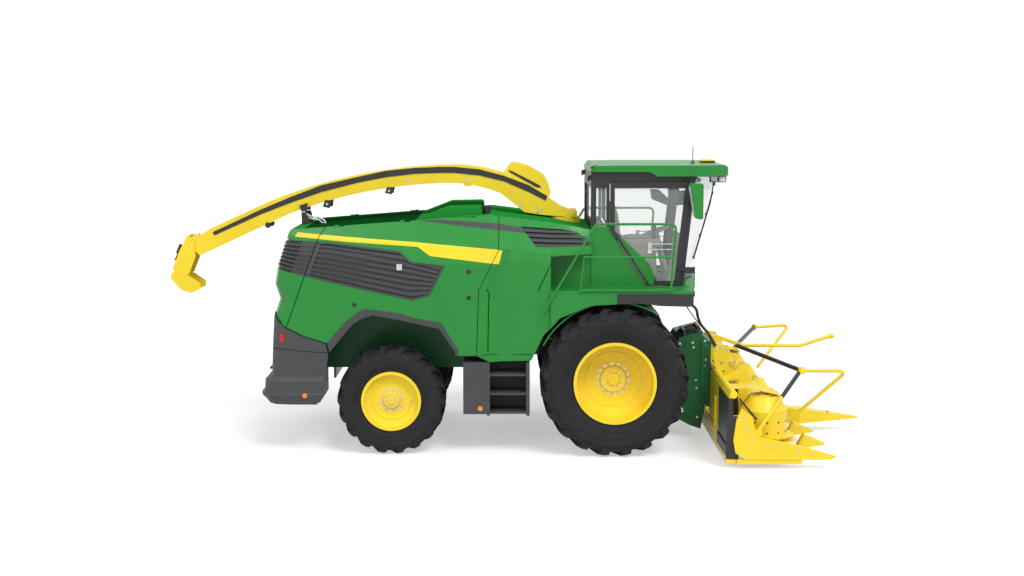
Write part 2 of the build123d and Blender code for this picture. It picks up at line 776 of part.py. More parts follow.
def u_plan(rear_x, front_x, half, corner):
    """Plan of a bumper that wraps round the rear."""
    side = [(front_x, half), (rear_x + corner, half), (rear_x + 0.35 * corner, half - 0.13 * corner),
            (rear_x + 0.1 * corner, half - 0.4 * corner), (rear_x, half - 0.8 * corner)]
    return side + [(x, -y) for x, y in reversed(side)]


def bumper_form(inset):
    """Volume of the rear bumper through its levels, inset by a wall thickness."""
    levels = [
        # height, rear face, half width
        (1960, -3305, -75), (1848, -3326, -55), (1450, -3350, -40), (1070, -3365, -35), (1001, -3455, -10),
        (850, -3466, -5), (835, -3500, 5), (800, -3500, 5), (765, -3460, 0), (686, -3400, -10),
    ]
    faces = []
    for z, rear, half in reversed(levels):
        plan = u_plan(rear + inset, -2400, side_half + half - inset, 330)
        faces.append(Plane.XY.offset(z) * make_face(Polyline(*plan, close=True)))
    return loft(faces, ruled=True)



def rear_bumper():
    """Rear lower panels, stepped out round the rear, with a crossbar to the frame."""
    outline = [
        (-3700, 1940), (-3325, 1930), (-3212, 1785), (-3143, 1727), (-2878, 1604), (-2596, 1517),
        (-2566, 1392), (-2566, 1332), (-2609, 1030), (-2668, 755), (-2722, 690), (-3700, 690),
    ]
    wrap = (bumper_form(0.0) - bumper_form(45.0)) & prism_y(outline, -2000, 2000)
    seam = [(-3700, 1441), (-3137, 1441), (-2868, 1414), (-2400, 1386)]
    wrap -= prism_y(strip(seam, 12.0), -2000, 2000) - bumper_form(14.0)
    wrap -= block((-4000, -3000), (-140, 140), (790, 1010))
    bar = block((rail_rear_x + 20, rail_rear_x + 80), (rail_y + rail_width, side_half - 80),
                (rail_low_z, rail_low_z + 100))
    return wrap + bar + other_side(bar)


def wheel_housing():
    """Left rear wheel housing: rear, inner and front walls and a roof."""
    inner_y = rail_y + rail_width + running_gap
    housing = block((-2720, -2690), (inner_y, side_half - 95), (700, 1900))
    housing += block((-2700, -735), (inner_y, inner_y + 25), (rail_low_z - 180, 1940))
    housing += block((-2700, -735), (inner_y, side_half - 95), (1925, 1940))
    housing += block((-748, -725), (inner_y, hood_half - running_gap), (530, 1940))
    return housing


# Walkways, steps and rails


def front_fender():
    """Left walkway deck with its skirt and the wheel arch liner."""
    deck = block((body_neck_x, deck_front_x), (deck_inner_y, deck_outer_y), (deck_z - deck_thickness, deck_z))
    skirt = [
        (body_neck_x, 1740), (560, 1880), (970, 2050), (skirt_split_x, 2068),
        (skirt_split_x, deck_z - deck_thickness), (body_neck_x, deck_z - deck_thickness),
    ]
    side = deck + prism_y(skirt, deck_outer_y - 45, deck_outer_y)
    outer = front_tyre_radius + arch_gap + 15
    ring = Pos(front_axle_x, 0, front_tyre_radius) * Rot(90, 0, 0)
    liner = ring * (Cylinder(outer, 2 * deck_outer_y - 90) - Cylinder(outer - 15, 2 * deck_outer_y))
    liner &= block((0, 1900), (deck_inner_y, deck_outer_y - 45), (1500, deck_z))
    return side + liner


def platform_edges():
    """Dark front part of the left walkway's skirt, its front end and the tray under the cab."""
    low_z = deck_z - deck_thickness - running_gap
    x = skirt_split_x + running_gap
    skirt = [(x, 2070), (1640, 2080), (1905, 2045), (2300, 2035), (deck_front_x, 2060), (deck_front_x, low_z), (x, low_z)]
    side = prism_y(skirt, deck_outer_y - 45, deck_outer_y)
    side += block((deck_front_x - 40, deck_front_x), (cab_half, deck_outer_y - 45), (2100, low_z))
    side += prism_y([(1990, 2100), (2330, 2055), (2400, 2075), (2440, 2100), (2440, 2169), (1990, 2169)],
                    cab_half - 520, cab_half - 10)
    side += block((2250, deck_front_x), (cab_half - 30, cab_half + 10), (2100, 2169))
    return side


def platform_nose():
    """Middle of the tray under the cab."""
    half = cab_half - 520 - running_gap
    return prism_y([(2310, 2055), (2440, 2075), (2490, 2100), (2490, 2169), (2310, 2169)], -half, half)


def step_unit():
    """Left tank box and ladder between the wheels."""
    outer = side_half
    tank = block((-740, -420), (1000, outer), (560, 1270))
    cheeks = block((-420, -380), (1000, outer), (540, 1270)) + block((110, 160), (1000, outer), (540, 1270))
    tank += cheeks + block((-420, 160), (1000, 1040), (540, 1270))
    for z in (560, 820, 1080):
        tank += block((-380, 110), (1040, outer - 20), (z, z + 30))
    return tank


def railing():
    """Left walkway rail: one bent tube, a mid rail and two posts."""
    y = deck_outer_y + 20
    top_z = 3146
    radius = 17.0
    main = tube([(310, y, 1910), (1035, y, top_z), (2100, y, top_z), (2040, y, deck_z + 4)], radius, 70)
    mid = rod((870, y, 2705), (2070, y, 2705), 0.8 * radius)
    post = rod((830, y, deck_z - 20), (880, y, 2705), 0.8 * radius)
    foot = block((810, 2080), (deck_outer_y - 30, y + 15), (deck_z, deck_z + 25))
    return main + mid + post + foot


# Cab


def cab_floor():
    """Cab floor pan with its front lip."""
    plan = [(cab_rear_x, cab_half), (2250, cab_half), (2380, 600), (2420, 0)]
    plan += [(x, -y) for x, y in reversed(plan[:-1])]
    floor = prism_z(plan, cab_floor_z - 60, cab_floor_z)
    return floor + block((1000, 2300), (-400, 400), (1980, cab_floor_z - 60))


def cab_panels():
    """Green panels of the cab: a side panel below each door's slanted edge and the nose."""
    y = cab_half + running_gap
    low_z = deck_z + running_gap
    outline = [(cab_rear_x + 4, low_z), (1766, low_z), (door_rear_x - 12, 3026), (door_rear_x - 12, 3060),
               (cab_rear_x + 4, 3060)]
    side = prism_y(outline, y, y + 20)
    plan = [(2284, cab_half), (2312, cab_half), (2478, 600), (2560, 0)]
    plan += [(x, -z) for x, z in reversed(plan[:-1])]
    nose = prism_z(plan, cab_floor_z - 60, 2330)
    glass = [(2000, cab_half + 5), (2304, cab_half - 10), (2448, 560), (2480, 0)]
    glass += [(x, -z) for x, z in reversed(glass[:-1])]
    nose -= prism_z(glass, cab_floor_z - 90, 2400)
    return [side, other_side(side), nose]


def cab_frame():
    """Pillars, sills, rear wall and header rails of the cab."""
    half = cab_half
    side = prism_y([(pillar_foot_x, cab_floor_z), (pillar_foot_x + pillar, cab_floor_z),
                    (pillar_head_x + pillar, cab_top_z), (pillar_head_x, cab_top_z)],
                   half - pillar, half)
    side += block((cab_rear_x, door_rear_x - panel_gap), (half - cab_wall, half), (cab_floor_z, cab_top_z))
    side -= block((cab_rear_x + 70, door_rear_x - 50), (0, 2 * half), (3000, cab_top_z - 60))
    front_z = roof_front_z - running_gap
    rear_z = roof_rear_z - running_gap
    side += prism_y([(cab_rear_x, cab_top_z), (pillar_head_x + pillar, cab_top_z),
                     (pillar_head_x + pillar, front_z), (1900, front_z), (1790, rear_z), (cab_rear_x, rear_z)],
                    half - pillar, half)
    side += block((door_rear_x - panel_gap, 1300), (half - cab_wall, half), (cab_floor_z, 2900))
    for z, _, x in door_hinges:
        side += block((x, hinge_x + 18), (half - 8, hinge_y + 18), (z - 22, z))
        side += rod((hinge_x, hinge_y, z), (hinge_x, hinge_y, z + 66), 10)
    frame = side + other_side(side)
    rear = block((cab_rear_x, cab_rear_x + cab_wall), (-half, half), (cab_floor_z, rear_z))
    rear -= block((0, 2000), (-half + 120, half - 120), (2900, cab_top_z - 60))
    front = block((pillar_head_x, pillar_head_x + pillar), (-half, half), (cab_top_z, front_z))
    return frame + rear + front


def cab_door():
    """Left door frame with its glazed opening, lower corner panel and hinge eyes."""
    outer = door_outline(0.0)
    leaf = prism_y(outer, door_inner_y, door_inner_y + door_thickness)
    for z, x, _ in door_hinges:
        eye = block((x, hinge_x + 20), (door_inner_y + 8, hinge_y + 20), (z + moving_gap, z + 60))
        leaf += eye - Pos(hinge_x, hinge_y, z) * Cylinder(10 + running_gap, 200)
    window = door_window(0.0)
    return leaf - prism_y(window, cab_half - 10, door_inner_y + door_thickness + 1)


def door_outline(gap):
    """Side view of the door."""
    return [(door_rear_x + gap, cab_top_z + 20 - gap), (pillar_head_x + 20 - gap, cab_top_z + 20 - gap),
            (pillar_foot_x + 40 - gap, 2262 + gap), (1780 + gap, 2262 + gap), (door_rear_x + gap, 3040 + gap)]


def door_window(gap):
    """Side view of the glazed opening, drawn in by a gap."""
    return [(door_rear_x + 60 + gap, cab_top_z - 60 - gap), (pillar_head_x - 50 - gap, cab_top_z - 60 - gap),
            (pillar_foot_x - 30 - gap, 2320 + gap), (1900 + gap, 2320 + gap), (1800 + gap, 2560 + gap),
            (door_rear_x + 60 + gap, 3010 + gap)]


def door_glass():
    """Left door pane, seated in the middle of the frame."""
    y = door_inner_y + door_thickness / 2
    return prism_y(door_window(running_gap), y - glass_thickness / 2, y + glass_thickness / 2)


def cab_roof():
    """Roof cap with a stepped lower edge and a front lamp recess."""
    side = [
        (roof_rear_x, roof_rear_z), (1790, roof_rear_z), (1900, roof_front_z),
        (roof_front_x - 30, roof_front_z), (roof_front_x, 3800),
        (roof_front_x - 60, 3870), (2830, roof_top_z), (1500, roof_top_z), (roof_rear_x + 60, 3895),
    ]
    plan = [(roof_rear_x, roof_half - 60), (roof_rear_x + 60, roof_half), (2600, roof_half),
            (2880, roof_half - 200), (roof_front_x, roof_half - 600)]
    plan += [(x, -y) for x, y in reversed(plan)]
    return prism_y(side, -roof_half, roof_half) & prism_z(plan, 3000, 4200)


def cab_windows():
    """Curved windscreen, rear window and rear quarter panes."""
    foot_x = pillar_foot_x + pillar + glass_thickness + running_gap
    rise = (cab_top_z + 95 - cab_floor_z) / (cab_top_z - cab_floor_z)
    head_x = foot_x + rise * (pillar_head_x - pillar_foot_x)
    low = [(foot_x, cab_half - 20), (2420, 560), (2450, 0)]
    high = [(head_x, cab_half - 20), (2740, 560), (2790, 0)]
    screen = []
    for points, z in ((low, cab_floor_z), (high, cab_top_z + 95)):
        outer = points + [(x, -y) for x, y in reversed(points[:-1])]
        inner = [(x - glass_thickness, y) for x, y in reversed(outer)]
        screen.append(Plane.XY.offset(z) * make_face(Polyline(*(outer + inner), close=True)))
    front = loft(screen, ruled=True)
    rear = block((cab_rear_x + 20, cab_rear_x + 28), (-cab_half + 120.3, cab_half - 120.3),
                 (2900.3, cab_top_z - 60.3))
    quarter = block((cab_rear_x + 70.3, door_rear_x - 50.3), (cab_half - 29, cab_half - 21),
                    (3000.3, cab_top_z - 60.3))
    return [front, rear] + pair(quarter)


def cab_interior():
    """Steering column, console and seat base."""
    column = rod((2140, 0, cab_floor_z + 50), (1972, 0, 2925), 45)
    column += block((2080, 2220), (-80, 80), (cab_floor_z, cab_floor_z + 70))
    column += Pos(1970, 0, 2920) * Rot(0, -20, 0) * Torus(190, 16)
    column += Pos(1970, 0, 2920) * Rot(0, -20, 0) * Box(360, 30, 16)
    base = block((1380, 1760), (-230, 230), (cab_floor_z, 2560))
    console = block((1400, 1950), (-460, -300), (cab_floor_z, 2840))
    return [column, base + console]


def seat():
    """Seat cushion and back."""
    cushion = block((1330, 1850), (-260, 260), (2560 + running_gap, 2700))
    back = prism_y([(1330, 2700), (1470, 2700), (1390, 3350), (1270, 3350)], -240, 240)
    return cushion + back


def mirror_housing():
    """Left mirror housing, rounded towards the front."""
    outline = [(2271, 3668), (2290, 3683), (2430, 3683), (2447, 3668), (2447, 3230), (2430, 3212), (2360, 3222),
               (2340, 3250)]
    return prism_y(outline, 1420, 1580)


def cab_equipment():
    """Mirror arms, lamp housings, aerial and receiver on the roof."""
    y = 1420 - 14 - running_gap
    arm = rod((2330, y, 3600), (2330, cab_half + 30, 3706), 14)
    arm += rod((2330, y, 3330), (2330, y, 3600), 14)
    arm += block((2290, 2370), (cab_half, cab_half + 40), (3682, 3740))
    lamp = block((2640, 2740), (700, 790), (3662, roof_front_z - running_gap))
    lamp += block((2755, 2855), (700, 790), (3662, roof_front_z - running_gap))
    receiver = block((2600, 2800), (-110, 110), (roof_top_z, roof_top_z + 25))
    aerial = rod((2470, -200, roof_top_z), (2470, -200, 4130), 5)
    return pair(arm) + pair(lamp) + [receiver, aerial]


def work_lamps():
    """Lamp glasses on the outer sides and fronts of the roof lamp housings."""
    lenses = []
    for x in (2640, 2755):
        lenses.append(block((x + 10, x + 90), (790 + running_gap, 800), (3675, 3740)))
    lenses.append(block((2855 + running_gap, 2865), (712, 778), (3675, 3740)))
    return [lens for piece in lenses for lens in pair(piece)]


def marker_lamps():
    """Round orange markers on the bumper and the tank box."""
    markers = []
    for x, y, z in ((-2880, side_half + 5 + running_gap, 818), (-510, side_half + running_gap, 640)):
        markers += pair(rod((x, y, z), (x, y + 14, z), 34))
    return markers


def tail_lamps():
    """Red lamps on the rear corners of the bumper."""
    lamp = prism_y([(-3215, 1520), (-3160, 1545), (-3150, 1640), (-3190, 1665), (-3222, 1620)], 900, 2000)
    return pair(lamp & (bumper_form(-9.0) - bumper_form(-0.3)))


# Spout


def spout_turret():
    """Turning ring with two ears that hold the spout's pivot pin."""
    ring = Pos(turret_x, 0, turret_z - turret_height / 2) * Cylinder(turret_radius, turret_height)
    ring -= Pos(turret_x, 0, turret_z) * Box(2 * spout_half - 60, 2 * spout_half - 60, 400)
    ear = [(spout_pivot_x - 120, turret_z), (spout_pivot_x + 60, turret_z),
           (spout_pivot_x + 50, spout_pivot_z + 45), (spout_pivot_x - 60, spout_pivot_z + 45)]
    low = spout_half + moving_gap
    ring += prism_y(ear, low, low + 25) + prism_y(ear, -low - 25, -low)
    return ring + rod((spout_pivot_x, -low - 40, spout_pivot_z), (spout_pivot_x, low + 40, spout_pivot_z), 22)


def spout_profile():
    """Side view of the spout: crown and belly as lines and arcs."""
    top = [(805, 3215), (612, 3290), (180, 3587), (-330, 3797), (-900, 3874), (-2195, 3743), (-3497, 3369),
           (-4373, 2971), (-4700, 2750)]
    low = [(-4530, 2585), (-3234, 3184), (-2164, 3492), (-1100, 3618), (-600, 3582), (-230, 3465), (100, 3205),
           (320, 3170), (600, 3148), (805, 3148)]
    return top, low


def spout_channel():
    """Curved crop duct, open below along its outer part."""
    top, low = spout_profile()
    upper = [Line(top[0], top[1]), Line(top[1], top[2]), ThreePointArc(top[2], top[3], top[4]),
             ThreePointArc(top[4], top[5], top[6]), Line(top[6], top[7]), Line(top[7], top[8])]
    lower = [Line(top[8], low[0]), Line(low[0], low[1]), ThreePointArc(low[1], low[2], low[3]),
             ThreePointArc(low[3], low[4], low[5]), Line(low[5], low[6]), Line(low[6], low[7]),
             Line(low[7], low[8]), Line(low[8], low[9]), Line(low[9], top[0])]
    plane = Plane(origin=(0, spout_half, 0), x_dir=(1, 0, 0), z_dir=(0, -1, 0))
    duct = extrude(plane * make_face(upper + lower), 2 * spout_half)
    outer_end = block((-5000, -3400), (-spout_half + spout_sheet, spout_half - spout_sheet), (2000, 4000))
    duct -= Pos(0, 0, -spout_sheet) * duct & outer_end
    ears = prism_y([(-4560, 2760), (-4560, 2860), (-4690, 2850), (-4700, 2750)], -spout_half, -spout_half + 20)
    duct += pair(ears)
    bulge = [(-204, 3740), (-122, 3874), (-66, 3912), (-9, 3908), (171, 3853), (368, 3735), (423, 3637), (473, 3483),
             (420, 3360), (0, 3600)]
    duct += prism_y(bulge, -150, 150)
    duct += rod((flap_x, -flap_pin_half, flap_z), (flap_x, flap_pin_half, flap_z), flap_pin_radius)
    return duct - rod((spout_pivot_x, -400, spout_pivot_z), (spout_pivot_x, 400, spout_pivot_z), 22 + running_gap)


def spout_strips():
    """Dark wear strips on the spout's sides."""
    top = [(-4338, 2926), (-3637, 3252), (-3209, 3432), (-2776, 3594), (-2273, 3709), (-1866, 3797), (-1460, 3838),
           (-1098, 3853), (-890, 3852), (-541, 3818), (-192, 3726), (159, 3594), (420, 3440)]
    low = [(-4314, 2876), (-3638, 3179), (-3229, 3337), (-2778, 3493), (-2275, 3622), (-1867, 3702), (-1461, 3749),
           (-1099, 3763), (-891, 3762), (-541, 3726), (-192, 3643), (160, 3490), (400, 3370)]
    outline = [(x, z - 6) for x, z in top] + low[::-1]
    strip_piece = prism_y(outline, spout_half + running_gap, spout_half + 9)
    slot = [(-129, 3802), (-80, 3788), (316, 3584), (330, 3548), (260, 3562), (-108, 3767)]
    mark = prism_y(slot, 150 + running_gap, 158)
    rest = prism_y([(-3093, 3303), (-2979, 3336), (-2990, 3214), (-3064, 3214)], spout_half + 9.3, spout_half + 35)
    rest += prism_y([(-3085, 3300), (-2990, 3322), (-2995, 3290), (-3080, 3275)], spout_half + running_gap, spout_half + 12)
    return pair(strip_piece) + pair(mark) + pair(rest)


def flap(outline, back, half, pin):
    """Channel-shaped deflector flap: two cheeks, a back plate and the bore for its pin."""
    cheek = prism_y(outline, half - flap_sheet, half)
    piece = cheek + other_side(cheek)
    piece += prism_y(back, -half, half)
    return piece - rod((pin[0], -half - 9, pin[1]), (pin[0], half + 9, pin[1]), flap_pin_radius + running_gap)


def flap_upper():
    """First flap, hung on the spout, with the pins that carry the second."""
    half = spout_half + flap_gap + flap_sheet
    outline = [(-4660, 2870), (-4700, 2870), (-4810, 2670), (-4920, 2410), (-4880, 2250), (-4690, 2320),
               (-4590, 2570), (-4600, 2800)]
    back = [(-4700, 2870), (-4810, 2670), (-4900, 2457), (-4892, 2454), (-4802, 2666), (-4692, 2866)]
    piece = flap(outline, back, half, (flap_x, flap_z))
    for side in (-1, 1):
        start = (tip_x, side * (half - flap_sheet), tip_z)
        piece += rod(start, (tip_x, side * (half + flap_gap + flap_sheet + 6), tip_z), flap_pin_radius)
    return piece


def flap_lower():
    """Second flap, hung on the first."""
    half = spout_half + 2 * (flap_gap + flap_sheet)
    outline = [(-4890, 2350), (-4945, 2330), (-4950, 2260), (-4800, 2090), (-4660, 2050), (-4530, 2110),
               (-4530, 2190), (-4690, 2300)]
    back = [(-4945, 2330), (-4950, 2260), (-4800, 2090), (-4660, 2050), (-4658, 2058), (-4796, 2098),
            (-4942, 2263), (-4937, 2330)]
    return flap(outline, back, half, (tip_x, tip_z))


# Header


def feeder_housing():
    """Intake housing on the lift pivot."""
    outline = [(2100, 1150), (2300, 1450), (2580, 1530), (2690, 1410), (2690, 550), (2610, 130), (2460, 180),
               (2000, 430)]
    housing = prism_y(outline, -feeder_half, feeder_half)
    face = (2690, header_rear_x - running_gap)
    housing += block(face, (-feeder_half, feeder_half), (970, 1400))
    housing += block(face, (-feeder_half, -370), (450, 970)) + block(face, (370, feeder_half), (450, 970))
    reach = cutter_radius + moving_gap
    housing -= rod((lift_x, -600, lift_z), (lift_x, 600, lift_z), reach)
    arm = [(lift_x - 90, lift_z - 90), (lift_x + 90, lift_z - 90), (2150, 480), (2150, 1180),
           (lift_x + 90, lift_z + 90), (lift_x - 90, lift_z + 90)]
    low = cutter_half + moving_gap
    arms = prism_y(arm, low, feeder_half)
    arms -= rod((lift_x, 0, lift_z), (lift_x, 600, lift_z), lift_pin_radius + running_gap)
    pin = rod((cylinder_front_x, feeder_half, cylinder_front_z),
              (cylinder_front_x, cylinder_y + 60, cylinder_front_z), 20)
    side = arms + pin
    return housing + side + other_side(side)


def header_frame():
    """Rear wall, bottom beam, top tube, mast and the floor arms under the discs."""
    x = header_rear_x
    half = header_half - 60
    wall = block((x, x + 30), (-half, half), (300, 960))
    wall -= block((x - 10, x + 40), (-360, 360), (320, 900))
    wall += block((x - 20, x + 60), (-half, half), (header_floor_z, 300))
    wall += rod((x + 60, -half, 980), (x + 60, half, 980), 50)
    mast = [(x - 6, 1322), (x + 77, 1379), (x + 218, 1365), (x + 248, 1265), (x + 224, 1065), (x + 310, 1008),
            (x + 297, 922), (x + 85, 940), (x + 26, 1122)]
    for low in (-620, 590):
        wall += prism_y(mast, low, low + 30)
    wall += block((x + 60, x + 180), (-590, 590), (1290, 1350))
    for y in (-half, half - 40):
        wall += block((x, x + 140), (y, y + 40), (header_floor_z, 700))
    for side in (-1, 1):
        y = side * (drum_spacing - 90)
        wall += block((x - 24, x), (y - 30, y + 30), (140, 735))
        y = side * (drum_spacing + 70)
        wall += prism_y([(x + 20, 1010), (x + 20, 940), (x + 278, 1000), (x + 278, 700), (x + 402, 660),
                         (x + 402, 1190), (x + 300, 1150)], y - 6, y + 6)
    for factor in (-1.5, -0.5, 0.5, 1.5):
        y = factor * drum_spacing
        wall += block((x + 60, drum_x + 110), (y - 110, y + 110), (header_floor_z, 130))
        wall += rod((drum_x, y, 130), (drum_x, y, 420), spindle_radius)
    for factor in (-1.5, 1.5):
        y = factor * drum_spacing
        cover = [(x + 30, 1000), (x + 343, 1003), (x + 742, 905), (x + 745, 893), (x + 343, 990), (x + 30, 985)]
        wall += prism_y(cover, y - 150, y + 150)
    for index in range(-2, 3):
        y = index * row_spacing
        wall += block((x + 60, 3850), (y - 40, y + 40), (header_floor_z, 120))
    return wall


def header_drives():
    """Black drive columns between the inner and outer drums."""
    x = header_rear_x + 60 + running_gap
    column = [(x, 280), (x + 90, 280), (x + 90, 250), (x + 240, 300), (x + 215, 925), (x, 925)]
    column = prism_y(column, drum_spacing - 62, drum_spacing + 60)
    return pair(column)


def dividers():
    """Pointed crop dividers on the floor arms, with the long centre snout."""
    pieces = []
    foot_z = 120 + running_gap
    for index in (-2, -1, 1, 2):
        y = index * row_spacing
        nose = prism_y([(3760, foot_z), (3860, 300), (divider_tip_x, 180), (divider_tip_x, 150), (3860, foot_z)],
                       y - 70, y + 70)
        taper = prism_z([(3750, y - 70), (3860, y - 70), (divider_tip_x, y - 10), (divider_tip_x, y + 10),
                         (3860, y + 70), (3750, y + 70)], 0, 400)
        pieces.append(nose & taper)
    side = prism_y([(3770, foot_z), (3790, 360), (4090, 340), (snout_tip_x, 215), (snout_tip_x, 190),
                    (4090, 130)], -130, 130)
    taper = prism_z([(3770, -60), (4090, -130), (snout_tip_x, -12), (snout_tip_x, 12), (4090, 130), (3770, 60)],
                    0, 500)
    pieces.append(side & taper)
    return pieces


def header_side():
    """Left end panel with its pointed toe."""
    outline = [(2835, 650), (2800, 380), (2830, 220), (2960, 130), (4070, 130), (divider_tip_x, 170),
               (3680, 310), (3150, 420), (3085, 510), (3040, 700), (2900, 810)]
    panel = prism_y(outline, header_half - 60, header_half)
    return panel + block((2860, 3700), (header_half - 60, header_half - 10), (header_floor_z, 130))


def crop_bars():
    """Push frame over the header: centre boom, the outer ends of its arms and their struts."""
    x = header_rear_x
    boom = prism_y([(x + 60, 1350 + running_gap), (x + 180, 1350 + running_gap), (x + 500, 1235), (x + 500, 1290),
                    (x + 150, 1410), (x + 60, 1400)], -45, 45)
    boom += tube([(x + 480, 0, 1262), (4090, 0, 1255), (4470, 0, 1380), (4540, 0, 1395)], 26, 60)
    boom += rod((4520, 0, 1390), (4560, 0, 1400), 34)
    joint_x, joint_y, joint_z = arm_joint
    arm = tube([arm_joint, (4320, joint_y + 120, 1255), (3770, joint_y - 220, 640)], 24, 40)
    arm += rod((joint_x, joint_y, joint_z - 45), (joint_x, joint_y, joint_z + 45), 40)
    foot_y = header_half - 85
    strut = rod((joint_x - 28, joint_y + 10, joint_z - 20), (3130, foot_y, 490), 24)
    foot = block((3080, 3180), (header_half - 110, header_half - 60), (430, 520))
    side = arm + strut + foot
    return [boom, side, other_side(side)]


def crop_bar_arms():
    """Black inner parts of the two push arms."""
    start = Vector(header_rear_x + 440, 45 + running_gap, 1262)
    end = Vector(*arm_joint)
    along = (end - start).normalized()
    arm = rod(start - along * 40, end - along * 30, 30)
    arm -= block((3000, 3400), (-100, 45 + running_gap), (1000, 1500))
    arm -= Pos(*arm_joint) * Cylinder(40 + running_gap, 200)
    return pair(arm)


def drum(y):
    """One gathering drum with its toothed discs, turning about an upright axis."""
    profile = [(0, 150), (drum_radius, 150), (drum_radius, drum_top_z), (0.62 * drum_radius, cone_top_z),
               (0, cone_top_z)]
    core = revolve(Plane.XZ * make_face(Polyline(*profile, close=True)), Axis.Z)
    teeth = 20
    for radius, low, high in ((disc_radius, 150, 162), (disc_radius - 20, 290, 302), (disc_radius - 50, 350, 362)):
        outline = []
        for index in range(teeth):
            angle = 2 * math.pi * index / teeth
            outline.append((radius * math.cos(angle), radius * math.sin(angle)))
            angle += 2 * math.pi / teeth * 0.7
            outline.append(((radius - 55) * math.cos(angle), (radius - 55) * math.sin(angle)))
        core += prism_z(outline, low, high)
    core -= Pos(0, 0, 140) * Cylinder(spindle_radius + running_gap, 600)
    return Pos(drum_x, y, 0) * core


def lift_cylinder():
    """Left lift cylinder, drawn between its pins, as a barrel and a ram."""
    start = Vector(cylinder_rear_x, cylinder_y, cylinder_rear_z)
    end = Vector(cylinder_front_x, cylinder_y, cylinder_front_z)
    along = (end - start).normalized()
    barrel_end = start + along * 640
    barrel = rod(start + along * 40, barrel_end, barrel_radius)
    barrel += rod(start - Vector(0, 40, 0), start + Vector(0, 40, 0), 45)
    barrel -= rod(start - Vector(0, 50, 0), start + Vector(0, 50, 0), 20 + running_gap)
    barrel -= rod(start + along * 200, barrel_end + along * 10, ram_radius + running_gap)
    ram = rod(start + along * 400, end - along * 40, ram_radius)
    ram += rod(end - Vector(0, 40, 0), end + Vector(0, 40, 0), 45)
    ram -= rod(end - Vector(0, 50, 0), end + Vector(0, 50, 0), 20 + 8)
    return barrel, ram


def main():
    os.makedirs("parts", exist_ok=True)
    wheels()
    save("chassis_frame", chassis_frame())
    save("axles", [front_axle(), rear_axle()])
    knuckle = steering_knuckle()
    save("knuckle_left", knuckle)
    save("knuckle_right", other_side(knuckle))
    save("engine_block", engine_block())
    save("cutter_housing", cutter_housing())
    save("body_posts", body_posts())
    save("hood_fittings", spout_rest() + [exhaust()])
    shell = skin_shell(skin)
    save("hood_deck", hood_deck(shell))
    save("mid_panels", pair(mid_panel(side_skin(skin_shell(mid_skin)))))
    save("rear_panel", rear_panel(shell))
    save("body_grilles", pair(shoulder_grille()) + [rear_louvres(), rear_screen()])
    save("lower_panels", [rear_bumper()] + pair(step_unit()))
    save("wheel_housings", pair(wheel_housing()))
    for name, piece in (("side_shield", side_shield(side_skin(shell))), ("side_grille", side_grille()),
                        ("cab_door", cab_door()), ("door_glass", door_glass())):
        save(f"{name}_left", piece)
        save(f"{name}_right", other_side(piece))
    save("walkways", pair(front_fender()) + pair(railing()))
    save("platform_edges", pair(platform_edges()) + [platform_nose()])
    save("cab_floor", cab_floor())
    save("cab_frame", cab_frame())
    save("cab_panels", cab_panels() + pair(mirror_housing()))
    save("cab_roof", cab_roof())
    save("cab_windows", cab_windows())
    save("cab_interior", cab_interior())
    save("seat", seat())
    save("cab_equipment", cab_equipment())
    save("work_lamps", work_lamps())
    save("marker_lamps", marker_lamps())
    save("tail_lamps", tail_lamps())
    save("spout_turret", spout_turret())
    save("spout_channel", spout_channel())
    save("spout_strips", spout_strips())
    save("flap_upper", flap_upper())
    save("flap_lower", flap_lower())
    save("feeder_housing", feeder_housing())
    save("header_frame", header_frame())
    save("header_drives", header_drives() + crop_bar_arms())
    save("dividers", dividers() + pair(header_side()))
    save("crop_bars", crop_bars())
    for index, factor in enumerate((-1.5, -0.5, 0.5, 1.5)):
        save(f"drum_{index + 1}", drum(factor * drum_spacing))
    barrel, ram = lift_cylinder()
    save("lift_barrels", pair(barrel))
    save("lift_rams", pair(ram))


main()
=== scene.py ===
import json
import math

import bmesh
import bpy
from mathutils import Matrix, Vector


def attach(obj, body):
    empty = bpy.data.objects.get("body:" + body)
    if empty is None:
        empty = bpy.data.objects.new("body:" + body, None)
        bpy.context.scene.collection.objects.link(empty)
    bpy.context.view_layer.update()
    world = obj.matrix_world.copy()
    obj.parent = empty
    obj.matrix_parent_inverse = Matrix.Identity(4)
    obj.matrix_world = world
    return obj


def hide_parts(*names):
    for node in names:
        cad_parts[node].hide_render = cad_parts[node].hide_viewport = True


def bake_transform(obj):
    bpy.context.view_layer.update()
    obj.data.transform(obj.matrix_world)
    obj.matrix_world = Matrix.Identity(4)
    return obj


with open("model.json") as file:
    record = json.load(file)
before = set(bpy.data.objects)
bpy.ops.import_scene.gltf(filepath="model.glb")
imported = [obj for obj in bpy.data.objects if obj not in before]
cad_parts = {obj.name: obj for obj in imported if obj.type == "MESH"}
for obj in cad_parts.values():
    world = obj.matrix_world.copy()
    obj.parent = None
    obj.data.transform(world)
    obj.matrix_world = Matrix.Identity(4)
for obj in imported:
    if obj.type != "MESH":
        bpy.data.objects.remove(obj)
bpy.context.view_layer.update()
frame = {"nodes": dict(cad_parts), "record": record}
nodes = frame["nodes"]


# Camera and studio

CAMERA_PLACE = (-0.08, -20.335, 4.713)
CAMERA_DOWN = 7.33  # degrees below the horizon
LENS_MM = 50.0
SENSOR_MM = 36.0
SUNS = (
    # name, azimuth, elevation, strength, spread
    ("key", 32, 50, 1.7, 25),
    ("fill", -35, 35, 0.7, 40),
)
AMBIENT = 0.62
FLOOR_HALF = 60.0
FLOOR_GREY = 0.62
FLOOR_GLOW = 0.47  # lifts the lit floor to white where it is seen

scene = bpy.context.scene
scene.view_settings.view_transform = "Standard"


